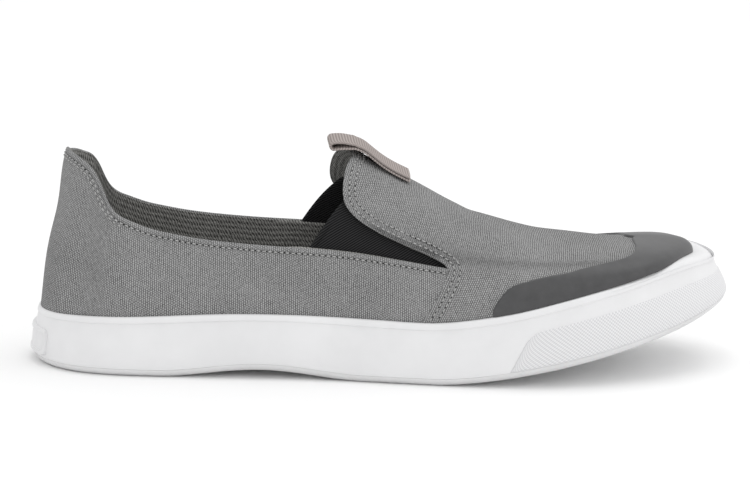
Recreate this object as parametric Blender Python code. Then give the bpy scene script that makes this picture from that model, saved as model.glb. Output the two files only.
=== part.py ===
"""Slip-on canvas sneaker for the right foot, empty and standing on its sole.

Metres, +X to the toe, +Y to the inner side of the foot, +Z up. The origin is on the floor, in the middle of
the shoe's box. A place round the shoe is one number, s: 0 at the heel's back, up the outer side to 1 at the
toe's tip, and back along the inner side to 2. Ribs of the upper rise from the sole's rim to a ridge over the
foot.
"""
import bpy
import bmesh
import numpy as np

# Driving sizes
LENGTH = 0.290
BALL_WIDTH = 0.103
RIM_HEIGHT = 0.0245
TOE_SPRING = 0.0262
ARCH_LIFT = 0.0033
RIDGE_HEIGHT = 0.118
COLLAR_HEIGHT = 0.0870
VAMP_TOP = 0.0885

# Sole
OUTSOLE = 0.0030
HEEL_FLOOR = 0.0110
BALL_FLOOR = 0.0065
EDGE_ROUND = 0.0032
SIDE_LEAN = 0.0024
TOE_LEAN = 0.0062
RIM_LEDGE = 0.0016
TOE_LEDGE = 0.0095
TOE_LEDGE_FROM = 0.88
HEEL_SNUG = 0.020
RIM_PROUD = 0.0005
RIM_BAND = 0.12
BUMPER_TOP = 0.67
RECESS_LEVELS = (0.20, 0.32, 0.48)
BUMPER_REACH = 0.0930
BUMPER_SLANT = 0.0100
BUMPER_FADE = 0.020
BUMPER_THICK = 0.0012
BUMPER_PROUD = 0.0004
TREAD_PITCH = 0.0155
TREAD_GROOVE = 0.0045
TREAD_DEPTH = 0.0020
TREAD_EDGE = 0.0008
TREAD_WALL = 0.0006
TREAD_BOW = 0.0070
TREAD_START = 0.014
TREAD_FRONT = 0.022
LABEL_WIDTH = 0.036
LABEL_LOW = 0.0045
LABEL_HIGH = 0.0165
LABEL_THICK = 0.0011
LABEL_FRAME = 0.0006
LABEL_EDGE = 0.0016
LABEL_CORNER = 0.0040

# Upper and what lies on and in it
CANVAS = 0.0020
TOE_FLARE = 0.0025
SEAM_STEP = 0.0005
SEAM_SLANT = 0.0110
SEAM_FADE = 0.022
HEEL_BEND = 0.080
HEEL_HOLLOW = 0.0020
HEEL_HOLLOW_Z = 0.066
HEEL_HOLLOW_TALL = 0.015
HEEL_HOLLOW_LONG = 0.016
TAB_DROP = 0.0019
TOE_BEND = 0.085
RIDGE_SHIFT = 0.0025
GUARD_THICK = 0.0007
GUARD_GAP = 0.00045
GUARD_FOOT = 0.012
GORE_THICK = 0.0012
GORE_LAP = 0.0065
GORE_LEAN = 0.0060
GORE_REACH = 0.0554
GORE_REACH_TOP = 0.0407
INSOLE = 0.0040
STRAP = 0.0013
STRAP_WIDTH = 0.020
STRAP_SEWN = 0.0230
STRAP_OVERHANG = 0.0093
STRAP_SLIT = 0.0105
STRAP_RISE = 0.0022
STRAP_OPEN = 0.0015
STRAP_CROWN = 0.0009
GAP = 0.0003
SIDE_STEPS = 36
STEP_ROOM = 0.010
CORNER_STEPS = (0.0012, 0.0050)


def table(columns, *rows):
    """A short table of sections: one array for each named column."""
    return dict(zip(columns.split(), np.array(rows, float).T))


# Plan of the sole: along is a share of LENGTH, the sides are shares of BALL_WIDTH
OUTLINE = table(
    "along outer inner",
    (0.00, 0.000, 0.000),
    (0.02, -0.184, 0.184),
    (0.06, -0.286, 0.286),
    (0.12, -0.340, 0.335),
    (0.20, -0.359, 0.340),
    (0.30, -0.369, 0.325),
    (0.40, -0.393, 0.316),
    (0.50, -0.442, 0.340),
    (0.60, -0.490, 0.403),
    (0.68, -0.505, 0.461),
    (0.76, -0.485, 0.495),
    (0.84, -0.417, 0.485),
    (0.91, -0.311, 0.427),
    (0.96, -0.180, 0.340),
    (1.00, 0.087, 0.087),
)

# Top edge of the sole's wall: height is a share of RIM_HEIGHT
RIM = table(
    "along height",
    (0.00, 0.915),
    (0.04, 0.955),
    (0.12, 0.995),
    (0.27, 1.08),
    (0.39, 1.085),
    (0.50, 1.06),
    (0.57, 1.065),
    (0.62, 1.14),
    (0.68, 1.27),
    (0.74, 1.44),
    (0.80, 1.60),
    (0.86, 1.743),
    (0.92, 1.875),
    (0.96, 1.90),
    (1.00, 1.86),
)

# Section of the wall: level from its foot (0) to the rim (1), the round under it as a share of EDGE_ROUND,
# and how far it has leaned in as a share of SIDE_LEAN or TOE_LEAN
WALL = table(
    "level round side toe",
    (0.00, 1.00, 0.00, 0.00),
    (0.05, 0.45, 0.00, 0.00),
    (0.14, 0.10, 0.00, 0.00),
    (0.30, 0.00, 0.03, 0.10),
    (0.50, 0.00, 0.18, 0.36),
    (0.67, 0.00, 0.40, 0.64),
    (0.80, 0.00, 0.62, 0.82),
    (1.00, 0.00, 1.00, 1.00),
)

# Ridge of the upper, on which its ribs end: height is a share of RIDGE_HEIGHT. Behind the throat it is only
# the point that the ribs aim at
RIDGE = table(
    "along height",
    (0.138, 1.000),
    (0.200, 0.993),
    (0.300, 0.945),
    (0.380, 0.858),
    (0.430, 0.785),
    (0.457, 0.750),
    (0.507, 0.686),
    (0.559, 0.619),
    (0.586, 0.582),
    (0.617, 0.546),
    (0.645, 0.521),
    (0.676, 0.4975),
    (0.703, 0.478),
    (0.731, 0.4655),
    (0.762, 0.456),
    (0.800, 0.443),
    (0.854, 0.4265),
)

# Section of the upper, for ribs that start at this share of LENGTH: lean is how far in the side has moved
# where it stops being upright, rise is that point's share of the height, shoulder is where the top begins. The
# inner side is flatter towards the toe
SECTION = table(
    "along lean rise shoulder inner_rise inner_shoulder",
    (0.00, 0.08, 0.33, 0.16, 0.33, 0.16),
    (0.10, 0.09, 0.34, 0.28, 0.34, 0.28),
    (0.25, 0.07, 0.35, 0.40, 0.35, 0.40),
    (0.40, 0.01, 0.42, 0.38, 0.42, 0.38),
    (0.50, -0.02, 0.47, 0.36, 0.40, 0.44),
    (0.60, -0.02, 0.60, 0.36, 0.33, 0.56),
    (0.70, -0.01, 0.75, 0.36, 0.27, 0.65),
    (0.85, 0.00, 0.80, 0.36, 0.15, 0.85),
    (0.94, 0.01, 0.85, 0.30, 0.30, 0.70),
    (1.00, 0.02, 0.90, 0.20, 0.90, 0.20),
)

# Top edge of the quarters, from the heel tab to the notch: height is a share of COLLAR_HEIGHT
COLLAR = table(
    "along height",
    (0.000, 1.012),
    (0.050, 1.010),
    (0.067, 0.987),
    (0.081, 0.948),
    (0.094, 0.871),
    (0.103, 0.806),
    (0.114, 0.759),
    (0.134, 0.724),
    (0.158, 0.695),
    (0.188, 0.672),
    (0.223, 0.652),
    (0.273, 0.634),
    (0.332, 0.621),
    (0.402, 0.611),
    (0.461, 0.597),
    (0.511, 0.577),
    (0.585, 0.546),
)

# Back edge of the vamp, from the notch (0) to its top on the ridge (1): height is a share of VAMP_TOP
VAMP_EDGE = table(
    "up along height",
    (0.00, 0.5835, 0.5345),
    (0.08, 0.577, 0.5615),
    (0.17, 0.560, 0.590),
    (0.27, 0.538, 0.619),
    (0.36, 0.514, 0.646),
    (0.46, 0.488, 0.6825),
    (0.55, 0.462, 0.7265),
    (0.61, 0.448, 0.764),
    (0.66, 0.4395, 0.798),
    (0.74, 0.4355, 0.864),
    (0.85, 0.4405, 0.949),
    (1.00, 0.4535, 0.997),
)

# Places along the shoe that follow from the tables and the sizes: the notch where quarter and vamp meet, the
# top of the vamp's back edge, the bumper's back end, the pull loop's two ends and where its opening ends
NOTCH = LENGTH * VAMP_EDGE["along"][0]
THROAT = LENGTH * VAMP_EDGE["along"][-1]
BUMPER_BACK = LENGTH - BUMPER_REACH
STRAP_FRONT = THROAT + STRAP_SEWN
STRAP_BACK = THROAT - STRAP_OVERHANG
STRAP_LIFT = STRAP_BACK + STRAP_SLIT

# Back edge of the toe guard, as the rib that it crosses and how far up that rib
GUARD = table(
    "along up",
    (0.645, 0.05),
    (0.655, 0.12),
    (0.666, 0.18),
    (0.689, 0.23),
    (0.713, 0.265),
    (0.750, 0.29),
    (0.800, 0.36),
    (0.845, 0.425),
    (0.870, 0.52),
    (0.895, 0.70),
    (0.920, 0.85),
    (0.950, 0.93),
    (1.000, 0.965),
)

# Pull loop: how far it is lifted off the ridge, as a share of STRAP_RISE, at shares of LENGTH ahead of the
# throat
STRAP_PATH = table(
    "ahead lift",
    (-0.032, 0.27),
    (-0.014, 0.64),
    (0.000, 0.77),
    (0.012, 1.00),
    (0.028, 0.55),
    (0.045, 0.05),
    (0.080, 0.00),
)

# Rows across the tread from the outer to the inner edge: 1 where the centre channel is cut, and where the
# grooves between the bars have their full depth
TREAD = table(
    "across channel groove",
    (0.00, 0, 0),
    (0.09, 0, 1),
    (0.45, 0, 1),
    (0.47, 1, 1),
    (0.53, 1, 1),
    (0.55, 0, 1),
    (0.91, 0, 1),
    (1.00, 0, 0),
)


def cubic(x, y, at):
    """Natural cubic curve through the points x, y."""
    step = np.diff(x)
    slope = np.diff(y) / step
    size = len(x)
    matrix = np.eye(size)
    right = np.zeros(size)
    inner = np.arange(1, size - 1)
    matrix[inner, inner - 1] = step[:-1]
    matrix[inner, inner] = 2 * (step[:-1] + step[1:])
    matrix[inner, inner + 1] = step[1:]
    right[inner] = 6 * np.diff(slope)
    bend = np.linalg.solve(matrix, right)
    i = np.clip(np.searchsorted(x, at) - 1, 0, size - 2)
    a = (x[i + 1] - at) / step[i]
    b = 1 - a
    curve = (a**3 - a) * bend[i] + (b**3 - b) * bend[i + 1]
    return a * y[i] + b * y[i + 1] + curve * step[i] ** 2 / 6


def column(rows, name, at, key="along"):
    """One column of a table, read at any place between its first and last row."""
    return cubic(rows[key], rows[name], np.clip(at, rows[key][0], rows[key][-1]))


def ease(value):
    """0 to 1 with flat ends."""
    value = np.clip(value, 0, 1)
    return value * value * (3 - 2 * value)


def station(x):
    """The place s on the outer side at a distance from the heel. 2 minus it is the inner side's."""
    return np.arccos(1 - 2 * np.asarray(x, float) / LENGTH) / np.pi


def distance(s):
    """Distance from the heel's back of a place round the shoe, on the widest outline."""
    return LENGTH * (1 - np.cos(np.pi * np.asarray(s, float))) / 2


def outline(s):
    """Plan of the sole at its widest."""
    s = np.mod(np.asarray(s, float), 2)
    u = np.where(s <= 1, s, 2 - s)
    rows = station(OUTLINE["along"] * LENGTH)
    outer = cubic(rows, OUTLINE["outer"], u)
    inner = cubic(rows, OUTLINE["inner"], u)
    return np.stack([distance(u), np.where(s <= 1, outer, inner) * BALL_WIDTH], -1)


def inset(s, depth):
    """Plan of the sole moved in by a depth."""
    nudge = 1e-4
    run = outline(np.asarray(s) + nudge) - outline(np.asarray(s) - nudge)
    run /= np.linalg.norm(run, axis=-1, keepdims=True)
    inward = np.stack([-run[..., 1], run[..., 0]], -1)
    return outline(s) + inward * np.asarray(depth)[..., None]


def point(plan, z):
    """A place in plan with its height."""
    return np.concatenate([plan, np.broadcast_to(z, plan.shape[:-1])[..., None]], -1)


def ground(x):
    """Underside of the shoe: flat under heel and ball, lifted at the arch and rising to the toe."""
    share = np.asarray(x) / LENGTH
    arch = ARCH_LIFT * np.sin(np.pi * np.clip((share - 0.17) / 0.30, 0, 1)) ** 2
    spring = TOE_SPRING * np.clip((share - 0.57) / 0.43, 0, None) ** 1.4
    return arch + spring


def rim(s):
    """Height of the top of the sole's wall."""
    return RIM_HEIGHT * column(RIM, "height", distance(s) / LENGTH)


def toe_share(s):
    """0 along the sides, 1 round the toe."""
    return ease((distance(s) / LENGTH - 0.74) / 0.24)


def wall(s, level, depth=0.0):
    """Outside of the sole, at a level between its foot and its rim, moved in by a depth."""
    toe = toe_share(s)
    lean = (1 - toe) * SIDE_LEAN * column(WALL, "side", level, "level")
    lean = lean + toe * TOE_LEAN * column(WALL, "toe", level, "level")
    plan = inset(s, EDGE_ROUND * column(WALL, "round", level, "level") + lean + depth)
    return point(plan, (1 - level) * ground(plan[..., 0]) + level * rim(s))


def level_at(s, height):
    """Level of the wall at a height over the shoe's underside."""
    return height / (rim(s) - ground(distance(s)))


def slanted(s, level):
    """Places moved so that the bumper's back end leans forward as it rises."""
    x = distance(s)
    near = np.exp(-(((x - BUMPER_BACK) / BUMPER_FADE) ** 2))
    moved = x + BUMPER_SLANT * near * (np.clip(level / BUMPER_TOP, 0, 1.2) - 0.5)
    u = station(np.clip(moved, 0, LENGTH))
    return np.where(np.mod(s, 2) <= 1, u, 2 - u)


def canvas_inset(s):
    """How far in from the widest outline the canvas leaves the sole: the wall's lean and the ledge in it."""
    toe = toe_share(s)
    heel = 0.75 * ease(1 - distance(s) / HEEL_SNUG)
    tip = ease((distance(s) / LENGTH - TOE_LEDGE_FROM) / (1 - TOE_LEDGE_FROM))
    lean = (1 - toe) * SIDE_LEAN + toe * TOE_LEAN
    return lean + (1 - tip) * RIM_LEDGE * (1 - heel) + tip * TOE_LEDGE


def floor(x):
    """Top of the cup's floor: thicker under the heel."""
    heel = 1 - ease((np.asarray(x) / LENGTH - 0.30) / 0.30)
    return ground(x) + OUTSOLE + BALL_FLOOR + (HEEL_FLOOR - BALL_FLOOR) * heel


def lower_skin(s, down, depth=0.0):
    """Outside of the canvas within the cup, from the rim (down 0) to the floor (down 1)."""
    flare = TOE_FLARE * toe_share(s) * down
    plan = inset(s, canvas_inset(s) - flare + depth)
    return point(plan, rim(s) - down * (rim(s) - floor(plan[..., 0]) - GAP))


def crest(s):
    """Point of the ridge on which a rib ends."""
    x = distance(s)
    heel = np.clip((HEEL_BEND - x) / HEEL_BEND, 0, 1)
    toe = np.clip((x - LENGTH + TOE_BEND) / TOE_BEND, 0, 1)
    x = np.where(x < HEEL_BEND, HEEL_BEND - HEEL_BEND * (heel - heel**2 / 2), x)
    x = np.where(x > LENGTH - TOE_BEND, LENGTH - TOE_BEND + TOE_BEND * (toe - toe**2 / 2), x)
    u = station(x)
    middle = (outline(u)[..., 1] + outline(2 - u)[..., 1]) / 2 + RIDGE_SHIFT
    return np.stack([x, middle, RIDGE_HEIGHT * column(RIDGE, "height", x / LENGTH)], -1)


def rib(s, up):
    """Outside of the canvas above the rim: a rib from the sole (up 0) to the ridge (up 1)."""
    s, up = np.broadcast_arrays(np.asarray(s, float), np.asarray(up, float))
    foot = lower_skin(s, 0.0)
    top = crest(s)
    share = distance(s) / LENGTH
    run = (top - foot) * [1, 1, 0]
    height = (top - foot) * [0, 0, 1]
    lean = column(SECTION, "lean", share)[..., None]
    inner = np.mod(s, 2) > 1
    rise = np.where(inner, column(SECTION, "inner_rise", share), column(SECTION, "rise", share))[..., None]
    shoulder = np.where(inner, column(SECTION, "inner_shoulder", share), column(SECTION, "shoulder", share))
    shoulder = shoulder[..., None]
    side = foot + run * lean + height * rise
    round_point = foot + run * shoulder + height
    t = up[..., None]
    plain = (1 - t) ** 3 * foot + 3 * (1 - t) ** 2 * t * side + 3 * (1 - t) * t**2 * round_point + t**3 * top
    tall = ((plain[..., 2] - HEEL_HOLLOW_Z) / HEEL_HOLLOW_TALL) ** 2
    hollow = HEEL_HOLLOW * np.exp(-tall - (distance(s) / HEEL_HOLLOW_LONG) ** 2)
    return plain + hollow[..., None] * [1, 0, 0]


def into_shoe(s, up):
    """Unit direction from the rib surface into the shoe."""
    nudge = 1e-4
    back = np.minimum(up, 1 - nudge)
    along = rib(s + nudge, back) - rib(s - nudge, back)
    rising = rib(s, back + nudge) - rib(s, back)
    inward = np.cross(rising, along)
    return inward / np.maximum(np.linalg.norm(inward, axis=-1, keepdims=True), 1e-12)


def skin(s, up, depth=0.0):
    """The rib surface moved in by a depth, or out by a negative one. Both sides share the ridge."""
    s, up = np.broadcast_arrays(np.asarray(s, float), np.asarray(up, float))
    inward = into_shoe(s, up)
    shared = inward + into_shoe(2 - s, up)
    shared /= np.linalg.norm(shared, axis=-1, keepdims=True)
    inward = np.where((up >= 1)[..., None], shared, inward)
    return rib(s, up) + inward * np.asarray(depth)[..., None]


def rib_share(s, height):
    """How far up its rib a place at this height lies. The height may be a function of x and y."""
    ups = np.linspace(0, 1, 201)
    s = np.atleast_1d(np.asarray(s, float))
    points = rib(s[:, None], ups[None, :])
    goal = height(points[..., 0], points[..., 1]) if callable(height) else np.asarray(height)[:, None]
    over = points[..., 2] - goal
    first = np.maximum(np.argmax(over > 0, axis=1), 1)
    row = np.arange(len(s))
    low = over[row, first - 1]
    high = over[row, first]
    return ups[first - 1] + (ups[1] - ups[0]) * (-low / (high - low))


def collar_height(x, y=0.0):
    """Top edge of the quarters, seen from the side. The heel tab is a little lower on its inner side."""
    drop = TAB_DROP * ease(y / 0.010) * ease((0.027 - x) / 0.008)
    return COLLAR_HEIGHT * column(COLLAR, "height", x / LENGTH) - drop


def side_top(s):
    """Top of the lower band of the upper: the collar's edge, and past the notch a line on round the toe."""
    x = distance(s)
    notch = station(NOTCH)
    limit = np.where(x <= NOTCH, s, np.where(np.mod(s, 2) <= 1, notch, 2 - notch))
    toe = ease((x - NOTCH) / (LENGTH - NOTCH))
    return rib_share(limit, collar_height) * (1 - toe) + 0.5 * toe


def around(u):
    """Places along the outer side to the toe, then back along the inner side to the heel."""
    return np.concatenate([u, 2 - u[-2:0:-1]])


def principled(name, colour, roughness):
    """A plain material from an sRGB hex colour."""
    material = bpy.data.materials.new(name)
    material.use_nodes = True
    shader = material.node_tree.nodes["Principled BSDF"]
    srgb = np.array([int(colour[i : i + 2], 16) / 255 for i in (1, 3, 5)])
    linear = np.where(srgb <= 0.04045, srgb / 12.92, ((srgb + 0.055) / 1.055) ** 2.4)
    shader.inputs["Base Color"].default_value = (*linear, 1)
    shader.inputs["Roughness"].default_value = roughness
    shader.inputs["Metallic"].default_value = 0
    return material


def shift():
    """From the heel's back on the floor to the middle of the shoe's box."""
    ring = outline(np.linspace(0, 2, 721))
    middle = (ring.max(0) + ring.min(0)) / 2
    toe_proud = BUMPER_PROUD / 2
    return np.array([middle[0] + (toe_proud - LABEL_THICK - GAP) / 2, middle[1], 0])


def solid(name, grids, material, angle=35):
    """One object from grids of points that share their edges. A grid marked True closes on itself."""
    mesh = bmesh.new()
    for points, closed in grids:
        rows, columns = points.shape[:2]
        corners = [[mesh.verts.new(place) for place in row] for row in points - shift()]
        for i in range(rows - 1):
            for j in range(columns if closed else columns - 1):
                k = (j + 1) % columns
                mesh.faces.new((corners[i][j], corners[i][k], corners[i + 1][k], corners[i + 1][j]))
    bmesh.ops.remove_doubles(mesh, verts=mesh.verts, dist=1e-6)
    bmesh.ops.recalc_face_normals(mesh, faces=mesh.faces)
    data = bpy.data.meshes.new(name)
    mesh.to_mesh(data)
    mesh.free()
    data.materials.append(material)
    data.shade_smooth()
    data.set_sharp_from_angle(angle=np.radians(angle))
    thing = bpy.data.objects.new(name, data)
    bpy.context.collection.objects.link(thing)
    return thing


def across(outer, inner, shares, height):
    """Rows from the outer side to the inner side, on a surface whose height is a function of x."""
    plan = outer[:, None, :2] * (1 - shares[:, None]) + inner[:, None, :2] * shares[:, None]
    return point(plan, height(plan[..., 0]))


def make_outsole():
    """Rubber tread: bars with a centre channel, bowed to the toe, worn flat at the edge."""
    bars = np.arange(TREAD_START, LENGTH - TREAD_FRONT, TREAD_PITCH)
    bar = TREAD_PITCH - TREAD_GROOVE
    steps = [0, bar, bar + TREAD_WALL, TREAD_PITCH - TREAD_WALL]
    rows = (bars[:, None] + steps).ravel()[:-2]
    cut = np.tile([0, 0, 1, 1], len(bars))[:-2]
    near, far = CORNER_STEPS
    front = [(rows[-1] + LENGTH) / 2, LENGTH - far, LENGTH - near, LENGTH]
    rows = np.concatenate([[0, near, far], rows, front])
    cut = np.concatenate([[0, 0, 0], cut, [0, 0, 0, 0]])
    u = station(rows)
    shares = TREAD["across"]
    low_outer = wall(u, 0 * u)
    low_inner = wall(2 - u, 0 * u)
    bottom = across(low_outer, low_inner, shares, ground)
    long_enough = (rows > TREAD_START) & (rows < rows[-5])
    bow = TREAD_BOW * long_enough[:, None] * (1 - (2 * shares - 1) ** 2)
    fade = ease((rows / LENGTH - 0.05) / 0.1) * ease((0.93 - rows / LENGTH) / 0.1)
    bottom[..., 0] += bow * fade[:, None]
    bottom[..., 2] = ground(bottom[..., 0])
    groove = cut[:, None] * np.where(TREAD["groove"] > 0, TREAD_DEPTH, TREAD_EDGE)
    middle = TREAD["channel"] * TREAD_DEPTH * long_enough[:, None]
    bottom[..., 2] += np.maximum(groove, middle)
    split_outer = level_at(u, OUTSOLE)
    split_inner = level_at(2 - u, OUTSOLE)
    high_outer = wall(u, split_outer)
    high_inner = wall(2 - u, split_inner)
    top = across(high_outer, high_inner, shares, lambda x: ground(x) + OUTSOLE)
    outer = np.stack([bottom[:, 0], wall(u, split_outer * 0.45), top[:, 0]])
    inner = np.stack([bottom[:, -1], wall(2 - u, split_inner * 0.45), top[:, -1]])
    grids = [(bottom, False), (top, False), (outer, False), (inner, False)]
    return solid("outsole", grids, principled("outsole rubber", "#e9e8e5", 0.62))


def sole_places():
    """Places along one side that the cup, the upper and the insole share, closer together at heel and toe."""
    even = np.linspace(0, 1, SIDE_STEPS)
    return 0.45 * station(even * LENGTH) + 0.55 * even


def make_cup():
    """White cup: side wall with a rim band, let in round the toe for the bumper."""
    back = station([BUMPER_BACK, BUMPER_BACK + GAP])
    u = sole_places()
    u = np.sort(np.concatenate([u[np.abs(u - back[0]) > STEP_ROOM], back]))
    s = around(u)
    ledge = GAP / RIM_HEIGHT
    split = level_at(s, OUTSOLE + GAP)
    band = 1 - RIM_BAND
    levels = [split] + [np.full(len(s), level) for level in (
        *RECESS_LEVELS, BUMPER_TOP, BUMPER_TOP + ledge, 0.78, band - ledge, band, 1.0)]
    recess = np.where((distance(s) > BUMPER_BACK + GAP / 2), BUMPER_THICK + GAP, 0)
    rows = []
    for i, level in enumerate(levels):
        depth = recess if i <= 4 else (-RIM_PROUD if i >= 8 else 0.0)
        rows.append(wall(slanted(s, level), level, depth))
    rows.append(lower_skin(s, 0.0, -GAP))
    rows.append(lower_skin(s, 1.0, -GAP))
    rows[0][:, 2] = ground(rows[0][:, 0]) + OUTSOLE + GAP
    rows[-1][:, 2] = floor(rows[-1][:, 0])
    side = np.stack(rows)
    n = len(u)
    order = np.concatenate([[0], np.arange(2 * n - 3, n - 1, -1), [n - 1]])
    shares = np.linspace(0, 1, 6)
    base = across(side[0, :n], side[0, order], shares, lambda x: ground(x) + OUTSOLE + GAP)
    top = across(side[-1, :n], side[-1, order], shares, floor)
    return solid("sole_cup", [(side, True), (base, False), (top, False)],
                 principled("cup rubber", "#f1f1f0", 0.5))


def make_bumper():
    """Textured strip round the toe, standing a little proud of the cup."""
    back = BUMPER_BACK + 3 * GAP
    u = sole_places()
    u = np.concatenate([[station(back)], u[u > station(back) + STEP_ROOM]])
    s = np.concatenate([u, 2 - u[-2::-1]])
    foot = level_at(s, OUTSOLE + GAP)
    top = np.full(len(s), BUMPER_TOP - GAP / RIM_HEIGHT)
    levels = [foot] + [np.full(len(s), level) for level in RECESS_LEVELS] + [top]
    rows = [wall(slanted(s, level), level, -BUMPER_PROUD) for level in levels]
    rows += [wall(slanted(s, level), level, BUMPER_THICK) for level in levels[::-1]]
    rows.append(rows[0])
    strip = np.stack(rows)
    ends = [np.stack([strip[:5, j], strip[9:4:-1, j]]) for j in (0, -1)]
    return solid("toe_bumper", [(strip, False)] + [(end, False) for end in ends],
                 principled("bumper rubber", "#eceeee", 0.6))


def make_label():
    """Plain framed plate on the back of the heel."""
    half = LABEL_WIDTH / 2
    reach = np.interp(half, -outline(np.linspace(0, 0.3, 301))[:, 1], np.linspace(0, 0.3, 301))
    s = np.linspace(-reach, reach, 13)
    low = LABEL_LOW + LABEL_EDGE
    high = LABEL_HIGH - LABEL_EDGE
    heights = np.array([LABEL_LOW, low, low + GAP, high - GAP, high, LABEL_HIGH])
    level = np.broadcast_to((heights / RIM_HEIGHT)[:, None], (6, 13))
    frame = np.zeros((6, 13))
    frame[2:4, 2:-2] = LABEL_FRAME
    places = np.broadcast_to(s, (6, 13)).copy()
    places[:, 2] = places[:, 1] + LABEL_CORNER
    places[:, -3] = places[:, -2] - LABEL_CORNER
    front = wall(places, level, frame - LABEL_THICK - GAP)
    back = wall(places, level, -GAP)
    sides = [np.stack([front[0], back[0]]), np.stack([front[-1], back[-1]]),
             np.stack([front[:, 0], back[:, 0]]), np.stack([front[:, -1], back[:, -1]])]
    return solid("heel_label", [(front, False), (back, False)] + [(side, False) for side in sides],
                 principled("label rubber", "#e4e5e5", 0.55))


def make_insole():
    """Foam insole inside the canvas, on the cup's floor."""
    u = sole_places()
    down = 1 - (INSOLE + 2 * GAP) / (rim(u) - floor(distance(u)))
    depth = CANVAS + GAP + canvas_inset(u) - TOE_FLARE * toe_share(u) * down
    plans = inset(u, depth), inset(2 - u, depth)
    shares = np.linspace(0, 1, 5)
    low = across(point(plans[0], 0), point(plans[1], 0), shares, lambda x: floor(x) + GAP)
    high = low + [0, 0, INSOLE]
    outer = np.stack([low[:, 0], high[:, 0]])
    inner = np.stack([low[:, -1], high[:, -1]])
    return solid("insole", [(low, False), (high, False), (outer, False), (inner, False)],
                 principled("insole foam", "#6b6a66", 0.9))


def seam_place(s, share):
    """Places moved so that the vamp's seam slants back as it runs down from the notch."""
    x = distance(s)
    near = np.exp(-(((x - NOTCH) / SEAM_FADE) ** 2))
    u = station(x - SEAM_SLANT * near * (1 - share) ** 1.5)
    return np.where(np.mod(s, 2) <= 1, u, 2 - u)


def make_upper():
    """Canvas shell: a band round the foot up to the collar, and the vamp over its front."""
    notch = station(NOTCH)
    before = station(NOTCH - 2 * GAP)
    u = sole_places()
    u = np.sort(np.concatenate([u[np.abs(u - notch) > STEP_ROOM], [before, notch]]))
    s = around(u)
    top = side_top(s)
    lift = np.where(distance(s) > NOTCH - GAP, -SEAM_STEP, 0.0)
    band = []
    low = seam_place(s, 0.0)
    band.append(lower_skin(low, 1.0))
    band.append(lower_skin(low, 0.0))
    for share in (0.18, 0.40, 0.62, 0.82, 1.0):
        band.append(skin(seam_place(s, share), top * share, lift * min(1, share * 5)))
    grids = [(np.stack(band), True)]
    shares = np.linspace(0, 1, 7)
    for side in (0, 1):
        front = u[u >= notch]
        places = front if side == 0 else 2 - front
        base = side_top(places)
        ups = base + (1 - base) * shares[:, None]
        grids.append((skin(np.broadcast_to(places, ups.shape), ups, -SEAM_STEP), False))
        grids.append((skin(*vamp_places(side, shares), -SEAM_STEP), False))
    shell = solid("upper", grids, principled("canvas", "#838383", 0.9), 50)
    weld = shell.modifiers.new("wall", "SOLIDIFY")
    weld.thickness = CANVAS
    weld.offset = -1
    return shell


def vamp_places(side, shares):
    """Places and rib shares of the vamp behind the notch: rows from its back edge to the notch's rib."""
    notch = station(NOTCH)
    edge_x = LENGTH * column(VAMP_EDGE, "along", shares, "up")
    edge_z = VAMP_TOP * column(VAMP_EDGE, "height", shares, "up")
    edge_s = station(edge_x)
    notch_up = side_top(np.array([notch if side == 0 else 2 - notch]))[0]
    signed = edge_s if side == 0 else 2 - edge_s
    edge_up = rib_share(signed, edge_z)
    edge_up[0] = notch_up
    edge_up[-1] = 1.0
    edge_s[0] = notch
    p = np.linspace(0, 1, 7)[None, :]
    places = edge_s[:, None] * (1 - p) + notch * p
    ups = edge_up[:, None] * (1 - p) + (notch_up + (1 - notch_up) * shares)[:, None] * p
    return (places if side == 0 else 2 - places), ups


def make_guard():
    """Thin film over the toe of the canvas, from the rim to its back edge."""
    start = GUARD["along"][0] * LENGTH
    u = sole_places()
    near, far = CORNER_STEPS
    u = np.concatenate([station([start, start + near, start + far]), u[u > station(start + far) + STEP_ROOM]])
    s = np.concatenate([u, 2 - u[-2::-1]])
    up = column(GUARD, "up", distance(s) / LENGTH)
    ups = [GUARD_FOOT + (up - GUARD_FOOT) * share for share in (0, 0.2, 0.36, 0.5, 0.62, 0.74, 0.87, 1)]
    depth = -(SEAM_STEP + GUARD_GAP)
    sheet = np.stack([skin(s, row, depth - GUARD_THICK) for row in ups])
    lining = np.stack([skin(s, row, depth) for row in ups])
    edges = [np.stack([sheet[i], lining[i]]) for i in (0, -1)]
    edges += [np.stack([sheet[:, j], lining[:, j]]) for j in (0, -1)]
    return solid("toe_guard", [(sheet, False), (lining, False)] + [(edge, False) for edge in edges],
                 principled("guard film", "#4e4f52", 0.42))


def make_gore(name, side):
    """Elastic panel behind the notch, lapped by quarter and vamp."""
    p = np.linspace(0, 1, 8)
    low_x = NOTCH - GORE_REACH - GORE_LEAN + (GORE_REACH + GORE_LAP) * p
    high_x = NOTCH - GORE_REACH_TOP + (GORE_REACH_TOP + GORE_LAP) * p
    low_s = station(low_x)
    high_s = station(high_x)
    if side:
        low_s = 2 - low_s
        high_s = 2 - high_s
    low_up = rib_share(low_s, collar_height(low_x) - GORE_LAP * (1 - 0.4 * p))
    edge_x = LENGTH * VAMP_EDGE["along"][8::-1]
    edge_z = VAMP_TOP * VAMP_EDGE["height"][8::-1]
    edge = np.interp(high_x, edge_x, edge_z)
    high_up = rib_share(high_s, edge + GORE_LAP)
    q = np.linspace(0, 1, 6)[:, None]
    places = low_s * (1 - q) + high_s * q
    ups = low_up * (1 - q) + high_up * q
    near = CANVAS + GAP
    outside = skin(places, ups, near)
    inside = skin(places, ups, near + GORE_THICK)
    edges = [np.stack([outside[i], inside[i]]) for i in (0, -1)]
    edges += [np.stack([outside[:, j], inside[:, j]]) for j in (0, -1)]
    return solid(name, [(outside, False), (inside, False)] + [(edge, False) for edge in edges],
                 principled("elastic", "#1d1d1f", 0.95))


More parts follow.
